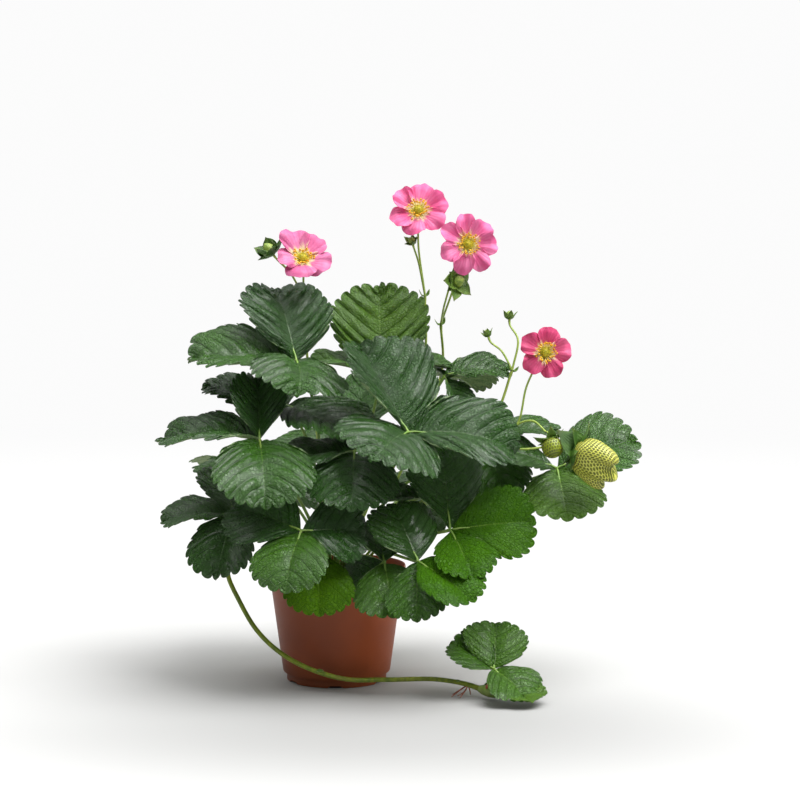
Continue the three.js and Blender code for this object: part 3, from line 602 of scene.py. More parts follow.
def add_leaflet(build, hub, row, stalk=BLADE["stalk"], teeth=TEETH, upper=UPPER):
    """One leaflet and its stalk. A row is azimuth, pitch, length, roll, bend, fold, width factor and tone."""
    azimuth, pitch, length, roll, bend, fold, broad, tone = row
    plan, pose = {"length": length, "bend": bend, "fold": fold}, blade_frame(azimuth, pitch, roll)
    root = hub + pose[0] * stalk
    count, x, w = flat_leaflet(length, broad, teeth, stalk)
    counts, s = np.broadcast_to(count[:, None], x.shape), np.broadcast_to(ACROSS, x.shape)
    swelling = np.interp(hub[2], BLADE["quilt_level"], BLADE["quilt"])
    swelling *= BLADE["young_quilt"] if upper == YOUNG else 1
    halves = [bend_blade(x, hand * w, blade_height(counts, s, x, w, length, swelling), plan, root, pose)
              for hand in (1, -1)]
    used, faces = np.unique(leaflet_faces(len(count)), return_inverse=True)
    faces = faces.reshape(-1, 4)
    stored = {"vein": counts, "across": s, "width": w, "reach": x / length}
    stored = {key: np.tile(numbers.ravel(), 2)[used] for key, numbers in stored.items()}
    thin = BLADE["thickness"] * (1 - 0.55 * stored["across"] ** 6)
    add_sheet(build, np.reshape(halves, (-1, 3))[used], faces, thin, (upper, UNDER), tone=tone, **stored)
    rib_x = np.linspace(-stalk, length * 0.93, 16)
    sunk = 0.4 * BLADE["valley"] * length + 1.15
    rib = bend_blade(rib_x, rib_x * 0, -sunk * smooth(-1, 0.12 * length, rib_x), plan, root, pose)
    add_tube(build, rib, np.interp(rib_x, [-stalk, 0, length * 0.93], [1.15, 0.85, 0.25]), 7, STEM)


print("quads in one face of a leaflet:", len(leaflet_faces(len(margin_counts(TEETH)))))

# %% [markdown]
# ## The leaves
#
# Every leaf is a long stalk from the crown with two or three leaflets at its end. A hub is where the stalk
# ends, and a foot is the stalk's angle round the crown and its distance from the crown's middle. Each
# leaflet leaves the hub at its own azimuth and pitch. The last number of each row is its tone, from the
# deep green of an old leaf to the light green of a young one, and the lightest leaflets of a young leaf
# take the softer paint. The tones also hold painted light and shade: a leaflet that catches a sheen is given
# a lighter tone, and one that lies in shade a darker one. The stalks carry the soft white hairs that make a
# strawberry's stems look frosted.

# %% Where the leaves are
LEAVES = {
    # painted light and shade: some tones are set lighter for a leaflet that catches a sheen, darker for one in
    # shade
    "leaf_top_left": {"hub": (-33, -20, 278), "foot": (170, 5), "arrive": 45, "heading": -125, "leaflets": [
        (112, 58, 76, 0, 20, 14, 1.05, 0.05), (190, 12, 84, -20, 25, 14, 1, 0.28),
        (-80, 2, 62, -12, 50, 4, 1.3, 0.22)]},
    "leaf_top_back": {"hub": (38, 25, 260), "foot": (80, 4), "arrive": 80, "leaflets": [
        (92, 74, 80, 0, 18, 6, 1.05, 0.85), (2, 24, 60, 8, 36, 12, 1.15, 0.5),
        (176, 28, 58, -10, 35, 12, 1, 0.6)]},
    "leaf_top_right": {"hub": (93, 0, 263), "foot": (35, 6.5), "arrive": 60, "leaflets": [
        (-6, 26, 52, 25, 60, 12, 0.85, 0.25), (-55, -40, 38, 0, 20, 30, 0.8, 0.2),
        (60, 4, 56, 0, 40, 10, 1, 0.5)]},
    "leaf_centre": {"hub": (62, -60, 221), "foot": (-50, 6), "arrive": 70, "leaflets": [
        (129, 50, 87, 0, 5, 30, 1.2, 0.02), (-106, 6, 66, -24, 42, 0, 1.4, 0.1),
        (-8, 8, 88, 38, 45, 14, 0.9, 0.08)]},
    "leaf_left": {"hub": (-62, -64, 215), "foot": (192, 9.5), "arrive": 50, "leaflets": [
        (-82, -16, 72, 0, 50, 8, 1.15, 0.25), (96, 58, 56, 0, 10, 34, 1, 0.12),
        (172, 18, 80, -15, 45, 12, 0.85, 0.15)]},
    "leaf_middle": {"hub": (17, -62, 205), "foot": (-95, 11), "arrive": 40, "leaflets": [
        (-91, -22, 59, -2, 41, 3, 1.25, 0.1), (73, 24, 58, 1, 19, 10, 1.21, 0.05),
        (179, 3, 58, -15, 24, 8, 1.15, 0.1)]},
    "leaf_behind_left": {"hub": (-42, -6, 238), "foot": (150, 9), "arrive": 50, "leaflets": [
        (179, 21, 67, -17, 19, 8, 1, 0.05), (-44, -2, 74, 5, 32, 12, 1.26, 0.15),
        (124, 17, 54, -4, 34, 14, 1, 0.1)]},
    "leaf_behind_right": {"hub": (128, 24, 210), "foot": (8, 11), "arrive": 30, "leaflets": [
        (-10, 16, 60, 12, 30, 10, 0.9, 0.3), (-66, -44, 58, 10, 20, 10, 1, 0.3),
        (84, 10, 56, 0, 30, 10, 1, 0.2)]},
    "leaf_low_right": {
        "hub": (97, -62, 139), "foot": (-33, 14.5), "arrive": 20, "stalk": 10, "young": True, "leaflets": [
            (107, 75, 65, 5, 11, 7, 1.01, 0.15), (-3, 10, 61, 62, 21, 6, 1.05, 0.55),
            (-72, -20, 52, 7, 30, 8, 0.97, 0.5)]},
    "leaf_low_middle": {"hub": (77, -56, 165), "foot": (-62, 11), "arrive": 36, "leaflets": [
        (186, 2, 45, -18, 13, 22, 0.9, 0.12), (107, 11, 46, -8, 21, 8, 1.03, 0.1)]},
    "leaf_front_right": {
        "hub": (70, -92, 117), "foot": (-56, 14.5), "arrive": 0, "young": True, "leaflets": [
            (132, 60, 52, -12, 18, 4, 1.2, 0.2), (-95, -47, 47, 6, 20, 1, 1.09, 0.45),
            (-43, -12, 57, 20, 33, 10, 0.97, 0.5)]},
    "leaf_front": {"hub": (42, -76, 114), "foot": (-80, 14.5), "arrive": 0, "stalk": 4, "leaflets": [
        (-77, -47, 45, 12, 18, 6, 1.32, 0.55), (185, -27, 31, -48, 14, 2, 1.23, 0.1),
        (100, 50, 38, 8, 13, 9, 1.2, 0.1)]},
    "leaf_front_left": {"hub": (-26, -100, 144), "foot": (-104, 14.5), "arrive": 10, "leaflets": [
        (-108, -30, 54, 0, 40, 6, 1.2, 0.5), (6, 4, 50, 56, 30, 6, 1.15, 0.05),
        (166, 24, 60, -50, 30, 10, 1.1, 0.1)]},
    "leaf_under_left": {
        "hub": (-14, -80, 124), "foot": (-128, 14.5), "arrive": 0, "young": True, "leaflets": [
            (-84, -52, 50, 0, 20, 6, 1.15, 0.8), (-175, -20, 40, -10, 20, 8, 1, 0.3)]},
    "leaf_left_low": {"hub": (-85, -42, 150), "foot": (208, 14.5), "arrive": 20, "leaflets": [
        (182, 8, 56, -16, 30, 10, 1, 0.2), (-108, -36, 58, 0, 30, 10, 1, 0.15),
        (110, 44, 50, 0, 20, 12, 1, 0.2)]},
    "leaf_right": {
        "hub": (190, -4, 184), "foot": (-9, 14.5), "arrive": 30, "heading": -32, "stalk": 8, "leaflets": [
            (0, 27, 64, 42, 20, 12, 1.15, 0.35), (-84, -26, 54, 4, 25, 6, 1.3, 0.8),
            (199, 27, 44, -28, 14, 7, 1.15, 0.3)]},
    "leaf_back_left": {"hub": (-72, 78, 176), "foot": (142, 15), "arrive": 30, "leaflets": [
        (128, 12, 70, 0, 40, 10, 1, 0.3), (236, 8, 62, -8, 35, 10, 1, 0.2),
        (-30, -18, 62, 8, 20, 8, 1.15, 0.3)]},
    "leaf_back": {"hub": (6, 104, 196), "foot": (96, 14.5), "arrive": 35, "leaflets": [
        (92, 12, 74, 0, 40, 10, 1, 0.4), (200, 8, 62, -8, 35, 10, 1, 0.3),
        (58, 60, 64, 0, 12, 8, 1.2, 0.2)]},
    "leaf_back_right": {"hub": (86, 84, 164), "foot": (52, 16.2), "arrive": 25, "leaflets": [
        (48, 6, 70, 0, 40, 10, 1, 0.3), (156, 2, 60, -8, 35, 10, 1, 0.2),
        (-98, -30, 60, 8, 25, 8, 1.1, 0.3)]},
}
STALK = 1.5  # radius of a leaf stalk
CROWN_LEVEL = 92  # where all stems start, inside the crown


def crown_point(foot):
    """Where a stem starts in the crown."""
    return direction(foot[0], 0) * foot[1] + UP * CROWN_LEVEL


def stalk_path(plan):
    """A leaf stalk's curve, which leaves the crown steeply and arrives at the hub at its own slope."""
    base, head = crown_point(plan["foot"]), np.array(plan["hub"], float)
    span = np.linalg.norm(head - base)
    straight = math.degrees(math.atan2(head[1] - base[1], head[0] - base[0]))
    final = direction(plan.get("heading", straight), plan["arrive"])
    rise = base + direction(plan["foot"][0], 80) * span * 0.4
    return bezier(base, rise, head - final * span * 0.35, head + final, 30)


for name, plan in LEAVES.items():
    build = Build()
    hub = np.array(plan["hub"], float)
    for row in plan["leaflets"]:
        young = "young" in plan and row[-1] >= 0.5
        teeth = TEETH if hub[2] > LOW_LEAF else LOW_TEETH
        add_leaflet(build, hub, row, plan.get("stalk", BLADE["stalk"]), teeth, YOUNG if young else UPPER)
    path = stalk_path(plan)
    radii = np.linspace(STALK, STALK * 0.85, len(path))
    radii[-3:] *= (1.05, 1.2, 1.1)
    add_tube(build, path, radii, 10, STEM)
    add_hairs(build, path, radii, 260, 1.3, HAIRS, 0.15)
    build.make(name, "leaf", [leaf_upper, leaf_under, leaf_stalk, hair, leaf_young])
print("leaves:", len(LEAVES), "triangles:", sum(totals.values()))

# %% [markdown]
# ## Petals
#
# A petal is broad and round with a narrow claw, and fine lines run through it from the claw like rays. So
# its mesh is a fan: rays leave the claw and end on a round outline. The rays make the faint streaks easy to
# paint, and the outline is ruffled a little, because fresh petals never lie flat. The colour fades to white
# and then to yellow at the claw. Each flower has its own pink, the youngest the deepest.

# %% Paint for petals


def petal_paint(name, pale, deep, streak):
    """A pink with faint rays, which pales to a cream and then to a yellow throat."""
    paint = Paint(name)
    out, ray = paint.stored("out"), paint.stored("ray")
    cloud = paint.noise(75, 3)
    streaks = ((ray * 46 + cloud * 5).wave() * 0.5 + 0.5) * out.ramp(0.1, 0.5) * out.ramp(1.0, 0.6)
    pink = paint.mix(cloud.ramp(0.3, 0.7), pale, deep)
    pink = paint.mix(streaks * 0.3, pink, streak)
    pink = paint.mix(out.ramp(0.75, 1.0) * 0.35, pink, deep)
    throat = out + (ray * 15 + cloud * 6).wave() * 0.05
    pink = paint.mix(throat.ramp(0.36, 0.16), pink, (0.93, 0.84, 0.50))
    pink = paint.mix(throat.ramp(0.18, 0.04), pink, (0.72, 0.68, 0.07))
    height = streaks + paint.noise(300) * 0.5
    shader = paint.shader({"Base Color": pink, "Roughness": cloud.ramp(0.2, 0.8, 0.5, 0.62),
                           "Sheen Weight": 0.15, "Normal": paint.bump(height, 0.12)})
    return paint.finish(paint.see_through(shader, pale, 0.28))


def soft_paint(name, one, other, scale, roughness, depth):
    """Two close colours in a fine grain, for small matt things."""
    paint = Paint(name)
    grain = paint.noise(scale, 3)
    return paint.finish(paint.shader({"Base Color": paint.mix(grain.ramp(0.35, 0.65), one, other),
                                      "Roughness": grain.ramp(0.2, 0.8, roughness, roughness + 0.12),
                                      "Normal": paint.bump(grain, depth)}))


flower_cone = soft_paint("flower_cone", (0.62, 0.50, 0.02), (0.30, 0.30, 0.01), 700, 0.5, 0.2)
filament = soft_paint("filament", (0.82, 0.74, 0.16), (0.66, 0.58, 0.06), 500, 0.5, 0.1)
anther = soft_paint("anther", (0.86, 0.48, 0.01), (0.6, 0.26, 0.005), 1200, 0.6, 0.2)
print("paints for a flower's middle:", [material.name for material in (flower_cone, filament, anther)])

# %% The corolla and the middle of a flower
PETAL = {"thickness": 0.4, "root": 2.4, "cup": 0.28, "twist": 0.14, "rays": 33, "steps": 15, "sweep": 150,
         "ruffle": 1.4, "claw": 0.14}
DISC_EDGE = [(4.2, -0.6), (4.2, 0.5), (0.1, 0.6), (0.1, -0.6)]  # radius and height round the flower's disc
CONE = [(0.01, 0.9), (3.7, 0.9), (4.1, 2.3), (3.5, 4.0), (2.2, 5.3), (0.9, 5.9), (0.01, 6.0)]
MIDDLE = {"sides": 20, "pistils": 90, "spread": 4.0, "golden": 137.5, "stamens": 34, "ring": 3.4}


def petal_points(length, broad, heading, cup):
    """Points of one petal, with their share of the way out and their ray."""
    ray = np.linspace(-1, 1, PETAL["rays"]).reshape(-1, 1)
    s = np.linspace(0, 1, PETAL["steps"]).reshape(1, -1) ** 0.9
    angle = np.radians(PETAL["sweep"]) * ray
    a, b, c, d = chance.uniform(0, 2 * math.pi, 4)
    dent = 0.07 * chance.uniform(0.2, 1) * np.exp(-((ray - chance.uniform(-0.2, 0.2)) / 0.14) ** 2)
    reach = 0.56 + (0.44 - dent + 0.018 * np.sin(ray * 13 + c) + 0.01 * np.sin(ray * 29 + a)) * np.cos(angle)
    half = 0.46 * np.sin(angle) * (1 + 0.05 * np.sin(ray * 7 + d))
    x = reach * s
    y = PETAL["claw"] * ray + (half - PETAL["claw"] * ray) * s
    cup = cup * chance.uniform(0.75, 1.25)
    rise = cup * x * (1.3 - 0.5 * x) + 0.16 * ray * ray * x * s
    ruffles = 0.07 * np.sin(ray * 5 + a) + 0.05 * np.sin(ray * 10 + b) + 0.02 * np.sin(ray * 21 + c)
    rise = rise + PETAL["ruffle"] * s ** 2.2 * ruffles + 0.045 * np.sin(x * 5 + d) * s
    rise = rise - 0.10 * smooth(0.7, 1.0, x) - 0.03 * np.exp(-((ray / 0.12) ** 2)) * s
    along, across = compass(heading)
    points = (np.multiply.outer(PETAL["root"] + x * length, along) + np.multiply.outer(y * broad, across)
              + np.multiply.outer(rise * length + y * broad * PETAL["twist"], UP))
    return points.reshape(-1, 3), (x + 0 * ray).ravel(), (ray + 0 * s).ravel()


def add_corolla(build, place, facing, plan):
    """A ring of petals round a small disc."""
    petals = plan["petals"]
    length, broad = plan["radius"] - PETAL["root"], plan["breadth"] * plan["radius"] * 5 / petals
    faces = grid_faces(PETAL["rays"], PETAL["steps"])
    for i in range(petals):
        heading = math.radians(plan["turn"] + 360 * i / petals + chance.uniform(-5, 5))
        size = chance.uniform(0.92, 1.0) * plan.get("sizes", [1] * petals)[i]
        points, out, ray = petal_points(length * size, broad * chance.uniform(0.9, 1.08), heading,
                                        plan.get("cup", PETAL["cup"]))
        add_sheet(build, placed(points, place, facing), faces, PETAL["thickness"], out=out, ray=ray)
    sides, rings = MIDDLE["sides"], len(DISC_EDGE)
    disc = turned(*np.array(DISC_EDGE).T[..., None], circle(sides))
    round_section = grid_faces(rings + 1, sides, around=True) % (rings * sides)
    build.add(placed(disc, place, facing), round_section, 0, out=0.02)


def egg(radius, length, sides, rings):
    """Points and faces of a small egg round +Z, starting at the origin."""
    t = np.linspace(0, 1, rings).reshape(-1, 1)
    points = turned(radius * np.sin(math.pi * t) ** 0.8, t * length, circle(sides))
    return points.reshape(-1, 3), grid_faces(rings, sides, around=True)


def add_middle(build, place, facing):
    """A domed cone of small pistils in a ring of stamens."""
    dome = turned(*np.array(CONE).T[..., None], circle(MIDDLE["sides"]))
    build.add(placed(dome, place, facing), grid_faces(len(CONE), MIDDLE["sides"], around=True), 0)
    count = MIDDLE["pistils"]
    out = MIDDLE["spread"] * np.sqrt((np.arange(count) + 0.5) / count)
    level = np.interp(out, [0, 0.9, 2.2, 3.5, 4.1], [6.0, 5.9, 5.3, 4.0, 2.5])
    turn = np.arange(count) * math.radians(MIDDLE["golden"])
    roots, ways = turned(out, level - 0.2, turn), turned(out / 4, 1.15 - out / 5, turn)
    add_spikes(build, placed(roots, place, facing), placed(ways, 0, facing),
               chance.uniform(0.9, 1.4, count), 0.34)
    pod, pod_faces = egg(0.85, 2.2, 8, 6)
    for i in range(MIDDLE["stamens"]):
        azimuth = i * 360 / MIDDLE["stamens"] + chance.uniform(-9, 9)
        way, length = direction(azimuth, chance.uniform(12, 66)), chance.uniform(3.2, 7.0)
        root = direction(azimuth, 0) * MIDDLE["ring"] + UP * 1.2
        tip = root + way * length + UP * 0.4
        stalk = [root, (root + tip) / 2 + UP * 0.5, tip]
        add_tube(build, placed(stalk, place, facing), [0.24, 0.2, 0.16], 5, 1)
        head = placed(pod * (1.25, 0.8, 1), tip - way * 0.5, unit(way + direction(azimuth + 90, 0) * 0.4))
        build.add(placed(head, place, facing), pod_faces, 2)


print("flower helpers ready")

# %% [markdown]
# ## Sepals and buds
#
# Behind each flower and round each bud and fruit stands a star of ten green sepals, five long and five
# short. They are pointed, keeled down the middle, and edged with hairs.

# %% Sepals
SEPAL = {"thickness": 0.45, "small": 0.74, "rows": 11, "columns": 7, "count": 10}
SHOOT, PALE_SEPAL, DARK_SEPAL, DOWN, BUD_SKIN = range(5)  # a truss's materials, by their place in its list


def sepal_paint(name, pale, deep, blush):
    """Green with paler veins along the sepal and a blush at its tip."""
    paint = Paint(name)
    length = paint.stored("out")
    veins = (paint.stored("ray") * 14).wave().size()
    green = paint.mix(paint.noise(120).ramp(0.35, 0.65), pale, deep)
    green = paint.mix((1 - veins) * 0.2, green, pale)
    green = paint.mix(length.ramp(0.7, 1.0) * 0.5, green, blush)
    shader = paint.shader({"Base Color": green, "Roughness": veins.ramp(0, 1, 0.45, 0.55),
                           "Normal": paint.bump(veins, 0.15)})
    return paint.finish(paint.see_through(shader, (0.15, 0.3, 0.03), 0.1))


sepal_green = sepal_paint("sepal_green", (0.15, 0.26, 0.03), (0.07, 0.16, 0.015), (0.16, 0.14, 0.02))
sepal_dark = sepal_paint("sepal_dark", (0.075, 0.18, 0.015), (0.028, 0.085, 0.006), (0.13, 0.14, 0.02))


def add_sepal(build, place, facing, heading, length, cup, curl, material, hair_material, broad=1.0):
    """One keeled sepal. The cup is how far it rises along its length, and the curl how far its tip does."""
    t = np.linspace(0, 1, SEPAL["rows"]).reshape(-1, 1)
    c = np.linspace(-1, 1, SEPAL["columns"]).reshape(1, -1)
    outline = np.sin(math.pi * np.minimum(1, t * 0.72 + 0.28)) ** 0.75 + 0.02
    half = broad * length * 0.21 * outline * (1 - t ** 6)
    lean = math.radians(cup) * smooth(0.05, 0.75 - 0.5 * abs(cup) / 90, t) + math.radians(curl) * t ** 2
    steps = np.hstack([np.cos(lean), np.sin(lean)]) * length / (SEPAL["rows"] - 1)
    ends = np.concatenate([[[0, 0]], np.cumsum(steps[:-1], 0)])
    out, rise = ends[:, :1] + 0 * c, ends[:, 1:] + half * 0.45 * c * c
    along, across = compass(heading)
    points = np.multiply.outer(out, along) + np.multiply.outer(half * c, across) + np.multiply.outer(rise, UP)
    grid = placed(points, place, facing)
    faces = grid_faces(SEPAL["rows"], SEPAL["columns"])
    add_sheet(build, grid.reshape(-1, 3), faces, SEPAL["thickness"], (material, material),
              out=(t + 0 * c).ravel(), ray=(c + 0 * t).ravel())
    edge = np.concatenate([grid[1:-1, 0], grid[1:-1, -1]])
    away = unit(np.concatenate([grid[1:-1, 0] - grid[1:-1, 1], grid[1:-1, -1] - grid[1:-1, -2]]))
    keel = grid[:, SEPAL["columns"] // 2]
    add_spikes(build, edge, away + unit(keel[-1] - keel[0]), chance.uniform(0.6, 1.3, len(edge)),
               HAIR_RADIUS, hair_material)


def add_calyx(build, place, facing, radius, cups, material, hair_material, curl=0.0, vary=6.0, broad=1.0):
    """Ten sepals round a head. The cups say how far each of them rises, in turn."""
    for i, turn in enumerate(circle(SEPAL["count"])):
        small = i % 2
        length = radius * (SEPAL["small"] if small else 1) * chance.uniform(0.92, 1.03)
        heading = turn + chance.uniform(-0.08, 0.08)
        cup = cups[i % len(cups)] + chance.uniform(-vary, vary)
        add_sepal(build, place - 0.25 * small * facing, facing, heading, length, cup,
                  curl + chance.uniform(-12, 12), material, hair_material, broad)


print("sepals ready")

# %% Buds
BUD = {"rows": 14, "sides": 30, "furrows": 5, "tall": 2.35, "sunk": 0.15}


def add_bud(build, place, facing, radius):
    """A closed bud: petals folded over each other into a hairy egg."""
    t, turn = np.linspace(0, 1, BUD["rows"]).reshape(-1, 1), circle(BUD["sides"])
    r = np.interp(t, [0, 0.15, 0.45, 0.8, 0.95, 1], np.array([0.35, 0.8, 1, 0.62, 0.25, 0.02]) * radius)
    r = r * (1 + 0.09 * np.abs(np.sin(turn * BUD["furrows"] / 2 + t * 2)) * np.sin(math.pi * t))
    points = turned(r, (t * BUD["tall"] - BUD["sunk"]) * radius, turn)
    build.add(placed(points, place, facing), grid_faces(BUD["rows"], BUD["sides"], around=True), BUD_SKIN)
    count = int(radius * 14)
    azimuth, level = chance.uniform(0, 2 * math.pi, count), chance.uniform(0.3, 0.9, count)
    out = np.interp(level, [0, 0.45, 0.8, 1], [0.6, 1, 0.62, 0.1]) * radius
    roots = turned(out, (level * BUD["tall"] - BUD["sunk"]) * radius, azimuth)
    ways = turned(1, level, azimuth)
    add_spikes(build, placed(roots, place, facing), placed(ways, 0, facing), 0.8, 0.06, DOWN)


print("bud helper ready")

# %% [markdown]
# ## Trusses
#
# A truss is a flowering stem. It rises from the crown, forks at its last point, and each branch passes one
# or two points and ends in a head: a flower, a bud or a fruit, which sits at a place and looks along an
# azimuth and a pitch. A head stands on its star of sepals. A bud's three numbers are its radius, the length
# of its sepals and how far they rise. At each fork sits a pair of small leaf-like bracts.

# %% Where the trusses and their heads are
TRUSSES = {
    "truss_left": {
        "foot": (118, 9.5), "stalk": [(-14, 36, 180), (-26, 50, 270), (-30, 44, 330)], "branches": [
        {"via": [(-29, 34, 350)], "flower": "flower_left", "at": (-29, 15, 363), "facing": (-82, 36),
         "radius": 28, "petals": 5, "turn": 52, "breadth": 0.98, "cup": 0.45,
         "sizes": (1, 1.06, 0.86, 0.86, 0.98)},
        {"via": [(-40, 32, 350)], "bud": (6, 16, 40), "at": (-55, 24, 367), "facing": (205, 50)}]},
    "truss_middle": {
        "foot": (75, 9.5), "stalk": [(42, 52, 180), (76, 66, 270), (77, 60, 330)], "branches": [
        {"via": [(71, 44, 375)], "flower": "flower_top", "at": (71, 30, 404), "facing": (-92, 28),
         "radius": 28, "petals": 6, "turn": 20, "breadth": 0.98},
        {"via": [(71, 44, 360)], "bud": (3.6, 8.5, 35), "at": (66, 36, 376), "facing": (-110, 50)}]},
    "truss_right": {
        "foot": (45, 11.5), "stalk": [(58, 44, 180), (92, 70, 262), (91, 56, 305)], "branches": [
        {"via": [(104, 28, 345)], "flower": "flower_right", "at": (113, 5, 376), "facing": (-84, 10),
         "radius": 28, "petals": 7, "turn": 0, "breadth": 1.04},
        {"via": [(94, 24, 325)], "bud": (5, 16, 15), "at": (103, 8, 344), "facing": (-50, 10)}]},
    "truss_buds": {
        "foot": (28, 15), "stalk": [(94, 10, 185), (136, -12, 230), (151, -8, 269)], "branches": [
        {"via": [(156, -2, 295)], "bud": (3.6, 8.5, 50), "at": (149, 6, 312), "facing": (100, 75)},
        {"via": [(142, -2, 285)], "bud": (3.2, 7.5, 50), "at": (131, 6, 297), "facing": (140, 65)}]},
    "truss_fruit": {
        "foot": (10, 15.5), "stalk": [(70, -10, 150), (118, -20, 186), (142, -22, 205)], "branches": [
        {"via": [(156, -20, 226), (163, -20, 257)], "flower": "flower_low", "at": (178, -20, 285),
         "facing": (-84, 8), "radius": 24, "petals": 5, "turn": 10, "breadth": 0.86},
        {"via": [(156, -21, 224), (168, -25, 227), (178, -36, 219)], "fruit": "fruit_small",
         "at": (181, -46, 214), "facing": (-60, -60), "sepals": 12, "sepal_paint": PALE_SEPAL, "broad": 1.4,
         "cups": (20, 50, -20, 40, -35, 30, -10, 55, 10, 35)},
        {"via": [(160, -26, 203), (182, -30, 206)], "fruit": "fruit_large", "at": (203, -50, 207),
         "facing": (-24, -36), "sepals": 20, "sepal_paint": DARK_SEPAL, "broad": 1.9,
         "cups": (10, -20, 0, 0, -15, -50, -75, 38, 44, 5)}]},
}
FLOWER_PINKS = {
    "flower_left": ((0.76, 0.23, 0.44), (0.68, 0.12, 0.31), (0.52, 0.07, 0.23)),
    "flower_top": ((0.89, 0.22, 0.45), (0.82, 0.09, 0.30), (0.64, 0.035, 0.18)),
    "flower_right": ((0.89, 0.27, 0.50), (0.83, 0.13, 0.36), (0.62, 0.05, 0.21)),
    "flower_low": ((0.78, 0.12, 0.28), (0.64, 0.045, 0.17), (0.42, 0.012, 0.08)),
}
bud_green = soft_paint("bud_green", (0.3, 0.38, 0.06), (0.16, 0.26, 0.04), 260, 0.5, 0.2)
truss_materials = [truss_stalk, sepal_green, sepal_dark, hair, bud_green]
print("trusses:", len(TRUSSES), "heads:", sum(len(plan["branches"]) for plan in TRUSSES.values()))

# %% [markdown]
# ## Fruits
#
# A strawberry is a swollen cone. Its true fruits are the little seeds, each in its own pit, in rows that
# are staggered like bricks. An unripe berry is green, and the raised net between the pits is pale. The
# large one is a flattened wedge with three blunt lobes at its end, as the first berry of a truss often is.

# %% Paint for fruits


def berry_paint(name, net_color, pit_color, base_color):
    """A berry's skin: a pale net round darker pits, with one more colour at the base."""
    paint = Paint(name)
    pit, out = paint.stored("pit"), paint.stored("out")
    grain = paint.noise(220, 3)
    pit = pit + (paint.noise(600, 2) - 0.5) * 0.35
    skin = paint.mix(pit.ramp(0.16, 0.4), net_color, pit_color)
    skin = paint.mix(out.ramp(0.3, 0.0) * 0.6, skin, base_color)
    skin = paint.mix(grain.ramp(0.4, 0.7) * 0.3, skin, pit_color)
    shader = paint.shader({"Base Color": skin, "Roughness": pit.ramp(0, 1, 0.34, 0.5), "Coat Weight": 0.15,
                           "Normal": paint.bump(grain, 0.08)})
    return paint.finish(paint.see_through(shader, (0.5, 0.5, 0.04), 0.12))


unripe_skin = berry_paint("unripe_skin", (0.66, 0.66, 0.11), (0.13, 0.17, 0.004), (0.58, 0.61, 0.08))
green_skin = berry_paint("green_skin", (0.30, 0.36, 0.02), (0.09, 0.14, 0.003), (0.18, 0.24, 0.012))
seed_coat = soft_paint("seed_coat", (0.17, 0.17, 0.015), (0.09, 0.07, 0.01), 900, 0.4, 0.1)
print("paints for fruits:", [material.name for material in (unripe_skin, green_skin, seed_coat)])

# %% Shapes of the fruits
FRUITS = {
    "fruit_small": {"length": 17, "radius": 9, "widen": 0, "flatten": 0, "lobes": 0, "seed_rows": 9,
                    "seed_columns": 22, "pit": 0.35, "seed": 0.5, "rows": 70, "columns": 132},
    "fruit_large": {"length": 40, "radius": 17, "widen": 0.4, "flatten": 0.4, "lobes": 0.1, "seed_rows": 19,
                    "seed_columns": 44, "pit": 0.55, "seed": 0.62, "rows": 130, "columns": 264},
}
FATTEST = 0.38  # where a berry is thickest, as a share of its length
NUDGE = 0.01  # a small step along the berry's skin, which shows which way it faces


def berry_surface(plan, share, turn):
    """Points of the smooth berry, at a share of the way from base to tip and at an angle round it."""
    t = 0.3 * share + 0.7 * (1 - np.cos(math.pi * share)) / 2
    part = np.where(t < FATTEST, (FATTEST - t) / (FATTEST + 0.04), (t - FATTEST) / (1 - FATTEST))
    r = plan["radius"] * np.sqrt(np.maximum(0, 1 - part ** np.where(t < FATTEST, 2, 3)))
    x, y = r * np.cos(turn) * (1 + plan["widen"] * t), r * np.sin(turn) * (1 - plan["flatten"] * t)
    lobe = plan["lobes"] * np.cos(6 * x / plan["radius"])
    pinch = 1 + lobe * 1.2 * smooth(0.35, 0.9, t)
    return np.stack([x, y * pinch, plan["length"] * t * (1 + lobe)], -1)


